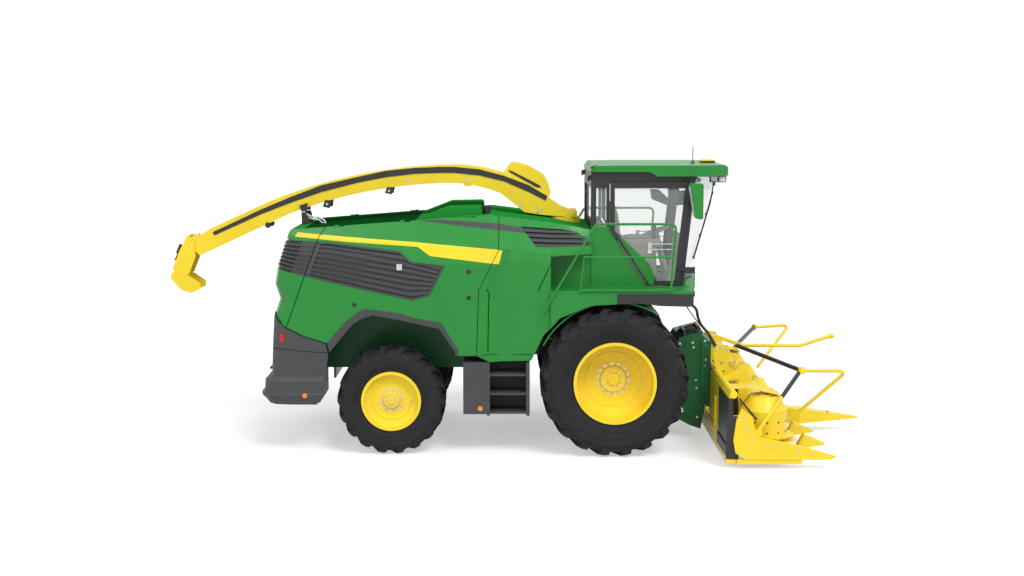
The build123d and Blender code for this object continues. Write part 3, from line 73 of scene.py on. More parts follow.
def add_camera():
    data = bpy.data.cameras.new("camera")
    data.lens = LENS_MM
    data.sensor_width = SENSOR_MM
    data.clip_end = 200.0
    camera = bpy.data.objects.new("camera", data)
    camera.location = CAMERA_PLACE
    camera.rotation_euler = (math.radians(90 - CAMERA_DOWN), 0, 0)
    scene.collection.objects.link(camera)
    scene.camera = camera


def add_sun(name, azimuth, elevation, strength, spread):
    data = bpy.data.lights.new(name, "SUN")
    data.energy = strength
    data.angle = math.radians(spread)
    lamp = bpy.data.objects.new(name, data)
    lamp.rotation_euler = (math.radians(90 - elevation), 0, math.radians(azimuth))
    scene.collection.objects.link(lamp)


def backdrop_rays(tree):
    """1 for a ray that shows the backdrop: to the camera, mirrored or through glass."""
    path = tree.nodes.new("ShaderNodeLightPath")
    seen = path.outputs["Is Camera Ray"]
    for kind in ("Is Glossy Ray", "Is Transmission Ray"):
        most = tree.nodes.new("ShaderNodeMath")
        most.operation = "MAXIMUM"
        tree.links.new(seen, most.inputs[0])
        tree.links.new(path.outputs[kind], most.inputs[1])
        seen = most.outputs[0]
    return seen


def add_world():
    world = bpy.data.worlds.new("studio")
    world.use_nodes = True
    scene.world = world
    tree = world.node_tree
    tree.nodes.clear()
    out = tree.nodes.new("ShaderNodeOutputWorld")
    light = tree.nodes.new("ShaderNodeBackground")
    light.inputs["Strength"].default_value = AMBIENT
    seen = tree.nodes.new("ShaderNodeBackground")
    seen.inputs["Strength"].default_value = 1.0
    for node in (light, seen):
        node.inputs["Color"].default_value = (1, 1, 1, 1)
    mix = tree.nodes.new("ShaderNodeMixShader")
    tree.links.new(backdrop_rays(tree), mix.inputs[0])
    tree.links.new(light.outputs[0], mix.inputs[1])
    tree.links.new(seen.outputs[0], mix.inputs[2])
    tree.links.new(mix.outputs[0], out.inputs[0])


def add_floor():
    mesh = bpy.data.meshes.new("floor")
    corners = [(x * FLOOR_HALF, y * FLOOR_HALF, 0) for x, y in ((-1, -1), (1, -1), (1, 1), (-1, 1))]
    mesh.from_pydata(corners, [], [(0, 1, 2, 3)])
    floor = bpy.data.objects.new("floor", mesh)
    scene.collection.objects.link(floor)
    material = bpy.data.materials.new("floor_white")
    material.use_nodes = True
    tree = material.node_tree
    tree.nodes.clear()
    out = tree.nodes.new("ShaderNodeOutputMaterial")
    diffuse = tree.nodes.new("ShaderNodeBsdfDiffuse")
    diffuse.inputs["Color"].default_value = (FLOOR_GREY, FLOOR_GREY, FLOOR_GREY, 1)
    glow = tree.nodes.new("ShaderNodeEmission")
    gain = tree.nodes.new("ShaderNodeMath")
    gain.operation = "MULTIPLY"
    gain.inputs[1].default_value = FLOOR_GLOW
    add = tree.nodes.new("ShaderNodeAddShader")
    tree.links.new(backdrop_rays(tree), gain.inputs[0])
    tree.links.new(gain.outputs[0], glow.inputs["Strength"])
    tree.links.new(diffuse.outputs[0], add.inputs[0])
    tree.links.new(glow.outputs[0], add.inputs[1])
    tree.links.new(add.outputs[0], out.inputs[0])
    mesh.materials.append(material)


add_camera()
add_world()
for sun in SUNS:
    add_sun(*sun)
add_floor()


# Materials

GREEN = (0.018, 0.25, 0.036)
# painted shadow: darker green laid on the hood deck's sunken middle
DECK_SHADOW = (0.004, 0.055, 0.01)
DECK_REAR_STEP = (-2.93, -2.92)  # along X, where the painted shadow on the hood deck begins
DECK_FRONT_STEP = (-1.4, -1.37)  # and where the painted shadow ends


class Surface:
    """Node-based material with one Principled shader."""

    def __init__(self, name, colour, roughness, metallic=0.0, **sockets):
        self.material = bpy.data.materials.new(name)
        self.material.use_nodes = True
        self.tree = self.material.node_tree
        self.shader = self.tree.nodes["Principled BSDF"]
        self.shader.inputs["Base Color"].default_value = (*colour, 1)
        self.shader.inputs["Roughness"].default_value = roughness
        self.shader.inputs["Metallic"].default_value = metallic
        for socket, value in sockets.items():
            self.shader.inputs[socket.replace("_", " ")].default_value = value
        self.colour = colour
        self.roughness = roughness
        self.place = self.tree.nodes.new("ShaderNodeTexCoord").outputs["Object"]
        self.height = None

    def node(self, kind, **inputs):
        made = self.tree.nodes.new(kind)
        for key, value in inputs.items():
            made.inputs[key].default_value = value
        return made

    def link(self, start, end):
        self.tree.links.new(start, end)

    def noise(self, scale, detail=3.0):
        made = self.node("ShaderNodeTexNoise", Scale=scale, Detail=detail)
        self.link(self.place, made.inputs["Vector"])
        return made.outputs["Fac"]

    def spread(self, source, low, high, start=0.3, end=0.7):
        made = self.tree.nodes.new("ShaderNodeMapRange")
        made.inputs["From Min"].default_value = start
        made.inputs["From Max"].default_value = end
        made.inputs["To Min"].default_value = low
        made.inputs["To Max"].default_value = high
        self.link(source, made.inputs["Value"])
        return made.outputs["Result"]

    def vary_colour(self, factor, other):
        mix = self.tree.nodes.new("ShaderNodeMix")
        mix.data_type = "RGBA"
        mix.inputs["A"].default_value = (*self.colour, 1)
        mix.inputs["B"].default_value = (*other, 1)
        self.link(factor, mix.inputs["Factor"])
        self.link(mix.outputs["Result"], self.shader.inputs["Base Color"])

    def vary_roughness(self, source, amount):
        self.link(self.spread(source, self.roughness - amount, self.roughness + amount),
                  self.shader.inputs["Roughness"])
        return self

    def bump(self, source, distance, strength):
        made = self.node("ShaderNodeBump", Distance=distance, Strength=strength)
        self.link(source, made.inputs["Height"])
        if self.height:
            self.link(self.height, made.inputs["Normal"])
        self.height = made.outputs["Normal"]
        self.link(self.height, self.shader.inputs["Normal"])
        return self


def shade(colour, factor):
    return tuple(min(1.0, part * factor) for part in colour)


def painted(made):
    """Fine orange peel and an uneven gloss."""
    made.vary_roughness(made.noise(14.0), 0.06)
    return made.bump(made.noise(260.0, 2.0), distance=0.0003, strength=0.05).material


def paint(name, colour, roughness=0.38, coat=0.06):
    made = Surface(name, colour, roughness, Coat_Weight=coat, Coat_Roughness=0.12, Specular_IOR_Level=0.3)
    made.vary_colour(made.spread(made.noise(2.3), 0.0, 0.55), shade(colour, 0.86))
    return painted(made)


def deck_paint_with_painted_shadow(name, colour, shadow_colour):
    """Dull paint with a painted shadow, a darker colour, over its sunken middle between two stations along X.
    """
    made = Surface(name, colour, 0.8, Specular_IOR_Level=0.0)
    split = made.tree.nodes.new("ShaderNodeSeparateXYZ")
    made.link(made.place, split.inputs[0])
    painted_shadow_share = made.tree.nodes.new("ShaderNodeMath")
    painted_shadow_share.operation = "MULTIPLY"
    made.link(made.spread(split.outputs["X"], 0.0, 1.0, *DECK_REAR_STEP), painted_shadow_share.inputs[0])
    made.link(made.spread(split.outputs["X"], 1.0, 0.0, *DECK_FRONT_STEP), painted_shadow_share.inputs[1])
    # paints the shadow into the base colour
    made.vary_colour(painted_shadow_share.outputs[0], shadow_colour)
    return painted(made)


def cloth(name, colour):
    """Woven seat fabric."""
    made = Surface(name, colour, 0.92, Sheen_Weight=0.3)
    made.vary_colour(made.spread(made.noise(60.0, 4.0), 0.0, 0.5), shade(colour, 0.7))
    weave = made.node("ShaderNodeTexWave", Scale=320.0, Distortion=1.5)
    made.link(made.place, weave.inputs["Vector"])
    made.bump(weave.outputs["Fac"], distance=0.0008, strength=0.5)
    return made.bump(made.noise(900.0, 2.0), distance=0.0006, strength=0.4).material


def plastic(name, colour, roughness=0.6):
    made = Surface(name, colour, roughness)
    made.vary_colour(made.spread(made.noise(5.0), 0.0, 0.5), shade(colour, 1.25))
    made.vary_roughness(made.noise(30.0), 0.08)
    return made.bump(made.noise(900.0, 2.0), distance=0.0006, strength=0.3).material


def metal(name, colour, roughness):
    made = Surface(name, colour, roughness, metallic=1.0)
    made.vary_colour(made.spread(made.noise(20.0), 0.0, 0.5), shade(colour, 0.75))
    made.vary_roughness(made.noise(60.0, 4.0), 0.1)
    return made.bump(made.noise(500.0, 2.0), distance=0.0003, strength=0.2).material


def rubber(name, colour):
    made = Surface(name, colour, 0.78, Specular_IOR_Level=0.25)
    made.vary_colour(made.spread(made.noise(7.0, 5.0), 0.0, 0.8), shade(colour, 1.4))
    made.vary_roughness(made.noise(25.0), 0.1)
    return made.bump(made.noise(350.0, 4.0), distance=0.0012, strength=0.35).material


def clear(name, colour, opacity):
    made = Surface(name, colour, 0.06, Alpha=opacity, IOR=1.5)
    return made.vary_roughness(made.noise(3.0), 0.02).material


materials = {
    "green": paint("green_paint", GREEN),
    # hood deck green, with a painted shadow over its sunken middle
    "deck": deck_paint_with_painted_shadow("deck_green_painted_shadow", GREEN, DECK_SHADOW),
    "dark_green": paint("dark_green_paint", (0.006, 0.125, 0.03)),
    "yellow": paint("yellow_paint", (0.93, 0.69, 0.03)),
    "charcoal": plastic("charcoal_panel", (0.042, 0.044, 0.047)),
    "black": plastic("black_trim", (0.016, 0.016, 0.018), roughness=0.45),
    "chassis": paint("chassis_paint", (0.03, 0.032, 0.034), roughness=0.45, coat=0.2),
    "iron": metal("engine_iron", (0.16, 0.16, 0.165), roughness=0.6),
    "rubber": rubber("tyre_rubber", (0.016, 0.016, 0.018)),
    "glass": clear("window_glass", (0.72, 0.8, 0.78), opacity=0.14),
    "seat": cloth("seat_cloth", (0.4, 0.35, 0.28)),
    "interior": plastic("interior_grey", (0.4, 0.36, 0.3)),
    "steel": metal("bright_steel", (0.65, 0.65, 0.66), roughness=0.25),
    "orange": paint("orange_marker", (0.85, 0.28, 0.03), roughness=0.25),
    "red": paint("red_lens", (0.5, 0.02, 0.02), roughness=0.2),
    "pale": paint("pale_lens", (0.8, 0.82, 0.85), roughness=0.2),
}
slot_material = {
    "green_paint": "green", "dark_green_paint": "dark_green", "yellow_paint": "yellow",
    "charcoal_panel": "charcoal", "black_trim": "black", "chassis_black": "chassis",
    "engine_iron": "iron", "tyre_rubber": "rubber", "glass": "glass", "seat_fabric": "seat",
    "interior_grey": "interior", "bright_steel": "steel", "orange_marker": "orange",
    "red_lens": "red", "pale_lens": "pale",
}
for part in frame["record"]["subparts"]:
    if part["node"] in nodes:
        node = nodes[part["node"]]
        node.data.materials.clear()
        node.data.materials.append(materials[slot_material[part["material_slot"]]])


# Detail meshes

SIDES = (("left", 1), ("right", -1))
SHARP_ANGLE = 35
SUNK = 0.002  # how far a small piece sits in what carries it
SKIN_LIFT = 0.0015
OUTWARD = 0.12  # least share of a face's normal that points to its side


def add_piece(name, mesh, material, body, smooth=True):
    mesh.materials.clear()
    mesh.materials.append(materials[material])
    if smooth:
        mesh.shade_smooth()
        mesh.set_sharp_from_angle(angle=math.radians(SHARP_ANGLE))
    piece = bpy.data.objects.new(name, mesh)
    scene.collection.objects.link(piece)
    if body:
        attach(piece, body)
    return piece


def circle(centre, across, up, radius, count):
    turns = (2 * math.pi * i / count for i in range(count))
    return [centre + across * (radius * math.cos(turn)) + up * (radius * math.sin(turn)) for turn in turns]


def wheel_circle(x, y, z, radius, count):
    """Circle about an axle, in the plane of the wheel."""
    return circle(Vector((x, y, z)), Vector((1, 0, 0)), Vector((0, 0, 1)), radius, count)


def directions(axis):
    axis = Vector(axis).normalized()
    across = axis.orthogonal().normalized()
    return axis, across, axis.cross(across)


def signed_area(outline):
    return sum(a[0] * b[1] - b[0] * a[1] for a, b in zip(outline, outline[1:] + outline[:1]))


class Shapes:
    """One mesh that collects small closed solids, in metres in the part's frame."""

    def __init__(self, name, material, body):
        self.name = name
        self.material = material
        self.body = body
        self.bm = bmesh.new()

    def rings(self, rings, closed=False):
        loops = [[self.bm.verts.new(point) for point in ring] for ring in rings]
        pairs = list(zip(loops, loops[1:])) + ([(loops[-1], loops[0])] if closed else [])
        for a, b in pairs:
            for i in range(len(a)):
                j = (i + 1) % len(a)
                self.bm.faces.new((a[i], a[j], b[j], b[i]))
        if not closed:
            self.bm.faces.new(loops[0][::-1])
            self.bm.faces.new(loops[-1])

    def lathe(self, origin, axis, profile, sides=24):
        """Solid of revolution from (along, radius) pairs."""
        axis, across, up = directions(axis)
        self.rings([circle(Vector(origin) + axis * along, across, up, radius, sides)
                    for along, radius in profile])

    def bolt(self, origin, axis, radius=0.012):
        """Six-sided head on a washer."""
        rim, seat = radius * 1.45, radius * 0.25
        self.lathe(origin, axis, [(-SUNK, rim), (seat, rim), (seat, radius * 1.3)], 14)
        self.lathe(origin, axis, [(0, radius), (radius * 0.85, radius), (radius * 1.05, radius * 0.78)], 6)

    def bolts(self, origin, axis, pitch_radius, count, radius):
        axis, across, up = directions(axis)
        for place in circle(Vector(origin), across, up, pitch_radius, count):
            self.bolt(place, axis, radius)

    def tube(self, points, radius, sides=12, closed=False):
        points = [Vector(point) for point in points]
        count = len(points)
        side = None
        rings = []
        for i, point in enumerate(points):
            before = points[i - 1] if i or closed else point
            after = points[(i + 1) % count] if i < count - 1 or closed else point
            along = (after - before).normalized()
            side = along.orthogonal() if side is None else side - along * side.dot(along)
            side.normalize()
            rings.append(circle(point, side, along.cross(side), radius, sides))
        self.rings(rings, closed)
        return self

    def slab(self, outline, low, high, bevel=0.004):
        """Prism of an (x, z) outline between two stations along y."""
        if signed_area(outline) > 0:
            outline = outline[::-1]
        first = len(self.bm.verts)
        self.rings([[(x, y, z) for x, z in outline] for y in (min(low, high), max(low, high))])
        self.bm.verts.ensure_lookup_table()
        if bevel:
            edges = {edge for vert in self.bm.verts[first:] for edge in vert.link_edges}
            bmesh.ops.bevel(self.bm, geom=list(edges), offset=bevel, segments=2, profile=0.6,
                            affect="EDGES", clamp_overlap=True)

    def block(self, low, high, bevel=0.004):
        outline = [(low[0], low[2]), (high[0], low[2]), (high[0], high[2]), (low[0], high[2])]
        self.slab(outline, low[1], high[1], bevel)

    def add(self):
        bmesh.ops.recalc_face_normals(self.bm, faces=self.bm.faces)
        mesh = bpy.data.meshes.new(self.name)
        self.bm.to_mesh(mesh)
        self.bm.free()
        return add_piece(self.name, mesh, self.material, self.body)


def decal(name, source, material, body, outline, side, lift=SKIN_LIFT):
    """Thin skin over the outward faces of a CAD node, cut to a convex (x, z) outline."""
    bm = bmesh.new()
    bm.from_mesh(nodes[source].data)
    bmesh.ops.remove_doubles(bm, verts=bm.verts, dist=1e-5)
    bm.normal_update()
    hidden = [face for face in bm.faces if face.normal.y * side < OUTWARD]
    bmesh.ops.delete(bm, geom=hidden, context="FACES")
    turn = 1 if signed_area(outline) > 0 else -1
    for a, b in zip(outline, outline[1:] + outline[:1]):
        normal = Vector(((b[1] - a[1]) * turn, 0, -(b[0] - a[0]) * turn))
        geom = list(bm.verts) + list(bm.edges) + list(bm.faces)
        bmesh.ops.bisect_plane(bm, geom=geom, plane_co=(a[0], 0, a[1]), plane_no=normal, clear_outer=True)
    bm.normal_update()
    for vert in bm.verts:
        vert.co += vert.normal * lift
    mesh = bpy.data.meshes.new(name)
    bm.to_mesh(mesh)
    bm.free()
    if mesh.polygons:
        add_piece(name, mesh, material, body, False)


# Ray casts that seat small pieces on the solids

OUTSIDE = 4  # a distance from the middle that is clear of the body
ABOVE = 6


def seat_on(node, start, direction):
    hit, place, normal, _ = nodes[node].ray_cast(Vector(start), Vector(direction))
    return (place, normal) if hit else (None, None)


def side_spot(node, x, z, side):
    return seat_on(node, (x, side * OUTSIDE, z), (0, -side, 0))


def top_spot(node, x, y):
    return seat_on(node, (x, y, ABOVE), (0, 0, -1))


# Wheels

WHEELS = (
    # axle, x, axle height, nut circle, hub radius, rim radius, nuts
    ("front", 1.304, 1.005, 0.205, 0.17, 0.47, 14),
    ("rear", -1.716, 0.735, 0.15, 0.1, 0.33, 10),
)
BEAD_SHARE = 0.8  # of the rim's radius
VALVE_SHARE = 0.86
RIB_SHARES = (0.58, 0.66)  # of the tyre's radius


def wheel_face(node, x, z, radius, side):
    """Outermost y of a wheel's node at a distance from its axle."""
    place, _ = side_spot(node, x + radius, z, side)
    return place.y


def add_wheels():
    for axle, x, z, nut_circle, hub, rim, count in WHEELS:
        for side_name, side in SIDES:
            body = f"{axle}_wheel_{side_name}"
            node = f"{axle}_rim_{side_name}"
            axis = (0, side, 0)
            nuts = Shapes(f"{body}_nuts", "steel", body)
            nuts.bolts((x, wheel_face(node, x, z, nut_circle, side), z), axis, nut_circle, count, 0.016)
            hub_face = wheel_face(node, x, z, hub * 0.55, side)
            nuts.bolts((x, hub_face, z), axis, hub * 0.72, 8, 0.011)
            nuts.add()
            cap = Shapes(f"{body}_hub_cap", "yellow", body)
            cap.lathe((x, hub_face, z), axis,
                      [(-0.004, hub * 0.5), (0.018, hub * 0.5), (0.024, hub * 0.46), (0.026, hub * 0.36),
                       (0.026, hub * 0.2), (0.021, hub * 0.18)], 40)
            edge = wheel_face(node, x, z, rim * BEAD_SHARE, side)
            cap.tube(wheel_circle(x, edge, z, rim * BEAD_SHARE, 64), 0.008, 8, closed=True)
            cap.add()
            valve = Shapes(f"{body}_valve", "steel", body)
            valve_x = x + rim * VALVE_SHARE
            valve.tube([(valve_x, edge - 0.01 * side, z), (valve_x, edge + 0.03 * side, z),
                        (valve_x - 0.01, edge + 0.05 * side, z)], 0.006, 10)
            valve.add()


add_wheels()


# Stripes and painted bands


def add_bands():
    for side_name, side in SIDES:
        shield, body = f"side_shield_{side_name}", f"shield_{side_name}"
        door, door_body = f"cab_door_{side_name}", f"door_{side_name}"
        thin = [(-2.985, 3.004), (-1.34, 2.885), (-1.34, 2.83), (-2.3, 2.895), (-2.985, 2.963)]
        bands = (
            ("thin", shield, body, thin),
            ("rear", "rear_panel", "chassis", thin),
            ("step", shield, body, [(-1.34, 2.885), (-1.18, 2.87), (-1.18, 2.71), (-1.34, 2.83)]),
            ("wide", shield, body, [(-1.18, 2.87), (-0.2, 2.785), (-0.2, 2.592), (-1.18, 2.71)]),
            ("end", "mid_panels", "chassis", [(-0.3, 2.793), (-0.21, 2.78), (-0.255, 2.6), (-0.36, 2.61)]),
        )
        for name, source, rider, outline in bands:
            decal(f"stripe_{name}_{side_name}", source, "yellow", rider, outline, side)
        dark = [(-1.358, 3.152), (-1.058, 3.166), (-0.284, 3.122), (0.1, 3.06), (0.1, 2.998)]
        for source, rider in ((shield, body), ("mid_panels", "chassis")):
            decal(f"shoulder_band_{source}_{side_name}", source, "charcoal", rider, dark, side)
        decal(f"door_panel_{side_name}", door, "green", door_body,
              [(1.25, 2.977), (1.333, 2.977), (1.888, 2.553), (1.855, 2.2), (1.25, 2.2)], side)
        decal(f"door_seal_{side_name}", door, "black", door_body,
              [(1.77, 2.242), (1.822, 2.242), (1.284, 3.08), (1.23, 3.05)], side, lift=2 * SKIN_LIFT)


add_bands()


# Body trim

LATCHES = ((-0.66, 2.15), (-2.2, 2.05), (-0.66, 2.5))


def add_split_shade_sheets():
    """Black sheets inside the panels' split lines, painted shade behind the gaps, so that no light shows
    through.
    """
    shade_sheets = Shapes("split_shade_sheets", "black", "chassis")
    for _, side in SIDES:
        shade_sheets.slab([(-0.66, 1.35), (-0.48, 1.35), (-0.43, 2.25), (-0.15, 2.8), (-0.3, 2.8), (-0.62, 2.25)],
                     side * 1.19, side * 1.2, bevel=0)
        shade_sheets.slab([(-0.36, 2.75), (-0.15, 2.75), (-0.15, 3.12), (-0.36, 3.12)],
                     side * 0.9, side * 0.91, bevel=0)
    shade_sheets.add()


def add_latches():
    for side_name, side in SIDES:
        latch = Shapes(f"shield_latches_{side_name}", "black", f"shield_{side_name}")
        for x, z in LATCHES:
            place, normal = side_spot(f"side_shield_{side_name}", x, z, side)
            if place:
                latch.lathe(place, normal, [(-SUNK, 0.03), (0.006, 0.03), (0.009, 0.026), (0.009, 0.012),
                                            (0.004, 0.01)])
        latch.add()


# black sheets that paint the shade behind the split lines
add_split_shade_sheets()
add_latches()


# Spout fittings

CHANNEL_Y = 0.149  # half the width of the spout's channel
BRACKET_Y = 0.164
CLIP_Y = 0.168
BRACKETS = (
    # x, top, foot
    (-1.567, 3.716, 3.589),
    (-0.71, 3.716, 3.575),
)
CLIPS = (
    # x, top, foot
    (-2.706, 3.376, 3.26),
    (-1.823, 3.56, 3.455),
)
CHUTE_BOLTS = ((-4.6, 2.86), (-4.45, 2.9), (-4.4, 2.83), (-4.52, 2.77))
ROOT_STUDS = ((0.048, 3.305), (0.289, 3.2), (0.332, 3.25))
PIPE_LINE = ((-3.9, 3.02), (-3.4, 3.255), (-3.0, 3.39), (-2.4, 3.565), (-1.8, 3.68),
             (-1.3, 3.72), (-0.9, 3.72), (-0.4, 3.65), (0.0, 3.5), (0.3, 3.33))


def add_spout_fittings():
    clips = Shapes("spout_clips", "black", "spout")
    plates = Shapes("spout_brackets", "yellow", "spout")
    bolts = Shapes("spout_bolts", "steel", "spout")
    for side in (-1, 1):
        axis = (0, side, 0)
        for x, top, foot in BRACKETS:
            plates.slab([(x - 0.055, foot), (x + 0.055, foot), (x + 0.05, top), (x - 0.05, top)],
                        side * CHANNEL_Y, side * BRACKET_Y)
            for offset in (-0.025, 0.025):
                bolts.bolt((x + offset, side * BRACKET_Y, (top + foot) / 2), axis, 0.011)
        for x, top, foot in CLIPS:
            clips.slab([(x - 0.06, foot + 0.02), (x + 0.04, foot), (x + 0.06, top), (x - 0.03, top)],
                       side * CHANNEL_Y, side * CLIP_Y)
            bolts.bolt((x, side * CLIP_Y, (top + foot) / 2), axis)
        clips.lathe((-3.55, side * 0.148, 3.02), axis,
                    [(0, 0.042), (0.02, 0.042), (0.026, 0.036), (0.026, 0.014), (0.034, 0.012)], 28)
        for x, z in CHUTE_BOLTS:
            bolts.bolt((x, side * 0.15, z), axis)
        for x, z in ROOT_STUDS:
            bolts.lathe((x, side * 0.148, z), axis, [(0, 0.026), (0.014, 0.026), (0.02, 0.02), (0.02, 0.01)])
    pipe = Shapes("spout_pipe", "black", "spout")
    pipe.tube([(x, CLIP_Y, z) for x, z in PIPE_LINE], 0.01, 10)
    for piece in (clips, plates, bolts, pipe):
        piece.add()


add_spout_fittings()


# Seat

PAD_GRID = 44
WAIST = 0.03  # share by which a cushion's sides pull in
CROWN = 0.3  # share of the thickness
CHANNEL_DEPTH, CHANNEL_WIDTH = 0.011, 0.045
SEAM_AT, SEAM_DEPTH, SEAM_WIDTH = 0.68, 0.013, 0.035
CUSHION = (1.6, 0, 2.63)
CUSHION_ALONG = (1, 0, 0.04)
BACK = (1.372, 0, 3.02)
BACK_ALONG = (-0.085, 0, 0.65)


def pad(name, centre, along, up, half_across, half_along, thick, channels):
    """Crowned cushion whose sides pull in between its corners, with sewn channels."""
    across, along, up = Vector((0, 1, 0)), Vector(along).normalized(), Vector(up).normalized()
    bm = bmesh.new()
    for layer in (1, -1):
        grid = []
        for i in range(PAD_GRID + 1):
            row = []
            for j in range(PAD_GRID + 1):
                u, v = (math.sin((2 * k / PAD_GRID - 1) * math.pi / 2) for k in (i, j))
                edge = max(0.0, (1 - abs(u) ** 6) * (1 - abs(v) ** 6)) ** 0.42
                height = thick * 0.5 * edge
                if layer > 0:
                    height += thick * CROWN * (1 - u * u) * (1 - v * v)
                    inner = max(0.0, 1 - (abs(u) / 0.66) ** 8)
                    sewn = sum(math.exp(-((v - at) / CHANNEL_WIDTH) ** 2) for at in channels)
                    height -= CHANNEL_DEPTH * inner * sewn * edge
                    height -= SEAM_DEPTH * math.exp(-((abs(u) - SEAM_AT) / SEAM_WIDTH) ** 2) * edge
                place = Vector(centre) + across * (u * half_across * (1 - WAIST * (1 - v * v)))
                place += along * (v * half_along * (1 - WAIST * (1 - u * u))) + up * (layer * height)
                row.append(bm.verts.new(place))
            grid.append(row)
        for i in range(PAD_GRID):
            for j in range(PAD_GRID):
                ring = (grid[i][j], grid[i + 1][j], grid[i + 1][j + 1], grid[i][j + 1])
                bm.faces.new(ring if layer > 0 else ring[::-1])
    bmesh.ops.remove_doubles(bm, verts=bm.verts, dist=1e-6)
    bmesh.ops.recalc_face_normals(bm, faces=bm.faces)
    mesh = bpy.data.meshes.new(name)
    bm.to_mesh(mesh)
    bm.free()
    piece = add_piece(name, mesh, "seat", "chassis")
    return piece


def piping_loop(centre, along, half_across, half_along):
    """Rounded rectangle round a cushion's edge."""
    loop = []
    for i in range(64):
        turn = 2 * math.pi * i / 64
        u = math.copysign(abs(math.cos(turn)) ** 0.3, math.cos(turn))
        v = math.copysign(abs(math.sin(turn)) ** 0.3, math.sin(turn))
        loop.append(Vector(centre) + Vector((0, u * half_across, 0)) + along * (v * half_along))
    return loop


def add_seat():
    lean = Vector(BACK_ALONG).normalized()
    base = pad("seat_cushion", CUSHION, CUSHION_ALONG, (-0.04, 0, 1), 0.255, 0.25, 0.105, (-0.55, -0.1, 0.35))
    pad("seat_back", BACK, lean, (lean.z, 0, -lean.x), 0.235, 0.32, 0.11, (-0.6, -0.2, 0.2, 0.6))
    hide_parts("seat")
    trim = Shapes("seat_piping", "black", "chassis")
    trim.tube(piping_loop(CUSHION, Vector(CUSHION_ALONG).normalized(), 0.249, 0.244), 0.006, 8, closed=True)
    trim.tube(piping_loop(BACK, lean, 0.229, 0.312), 0.006, 8, closed=True)
    trim.block((1.36, -0.2, 2.55), (1.82, 0.2, 2.585), 0.01)
    for y in (-0.12, 0.12):
        trim.tube([(1.38, y, 2.6), (1.29, y, 2.72), (1.3, y, 2.95)], 0.014)
    trim.add()
    pad("arm_rest", (1.66, -0.38, 2.875), (1, 0, 0), (0, 0, 1), 0.06, 0.2, 0.05, (0.4,))


add_seat()


# Cab fittings

WIPER_SPOTS = (
    # y, z on the windscreen: pivot, arm's end, blade's top and foot
    (-0.28, 3.62), (-0.6, 3.1), (-0.5, 3.5), (-0.72, 2.62),
)
HANDLE_ZS = (2.755, 2.83)


def add_cab_controls():
    stick = Shapes("cab_controls", "black", "chassis")
    stick.lathe((1.9, -0.38, 2.84), (0.15, 0, 1),
                [(0, 0.035), (0.02, 0.033), (0.035, 0.012), (0.1, 0.012), (0.115, 0.026), (0.17, 0.03),
                 (0.195, 0.02), (0.2, 0.008)], 20)
    stick.slab([(2.2, 3.35), (2.215, 3.33), (2.37, 3.345), (2.385, 3.36), (2.37, 3.52), (2.355, 3.54),
                (2.2, 3.53)], -0.6, -0.57)
    stick.tube([(2.29, -0.57, 3.44), (2.24, -0.62, 3.4), (2.2, -0.82, 3.36)], 0.014)
    stick.slab([(1.86, 3.42), (2.06, 3.34), (2.1, 3.42), (1.95, 3.55), (1.84, 3.55)], -0.74, -0.5, bevel=0.01)
    for y in (-0.12, 0.04):
        stick.slab([(2.16, 2.33), (2.24, 2.3), (2.25, 2.31), (2.19, 2.41), (2.18, 2.41)], y, y + 0.08)
    stick.add()


def add_cab_lining():
    liner = Shapes("cab_lining", "interior", "chassis")
    liner.slab([(1.4, 2.74), (1.98, 2.74), (2.04, 2.8), (1.96, 2.85), (1.42, 2.85)],
               -0.465, -0.31, bevel=0.012)
    liner.slab([(2.05, 2.26), (2.28, 2.26), (2.31, 2.6), (2.25, 2.95), (2.18, 2.98), (2.14, 2.6)],
               -0.86, -0.5, bevel=0.015)
    liner.slab([(1.1, 3.66), (2.5, 3.66), (2.52, 3.71), (1.1, 3.71)], -0.8, 0.8, bevel=0.01)
    liner.slab([(1.1, 2.3), (1.34, 2.3), (1.32, 2.92), (1.22, 3.0), (1.1, 3.0)], -0.72, 0.72, bevel=0.015)
    liner.add()


def add_wiper():
    """Wiper, with the roof's rear hook and the aerial's foot in the same black piece."""
    wiper = Shapes("wiper", "black", "chassis")
    spots = [seat_on("cab_windows", (5, y, z), (-1, 0, 0))[0] + Vector((0.02, 0, 0)) for y, z in WIPER_SPOTS]
    pivot, end, high, low = spots
    wiper.tube([pivot, pivot.lerp(end, 0.5) + Vector((0.02, 0, 0)), end], 0.009)
    wiper.tube([high, end, low], 0.012)
    wiper.lathe(pivot - Vector((0.018, 0, 0)), (1, 0, 0),
                [(0, 0.035), (0.03, 0.035), (0.042, 0.024), (0.042, 0.01)])
    for share in (0.0, 0.33, 0.66, 1.0):
        place = high.lerp(low, share)
        wiper.block(place - Vector((0.014, 0.014, 0.02)), place + Vector((0.012, 0.014, 0.02)), 0.003)
    wiper.tube([(1.176, -0.9, 3.86), (1.06, -0.9, 3.89), (0.99, -0.9, 3.86)], 0.014)
    wiper.lathe((2.47, -0.2, 3.89), (0, 0, 1), [(0, 0.03), (0.014, 0.03), (0.04, 0.012), (0.05, 0.007)])
    wiper.add()


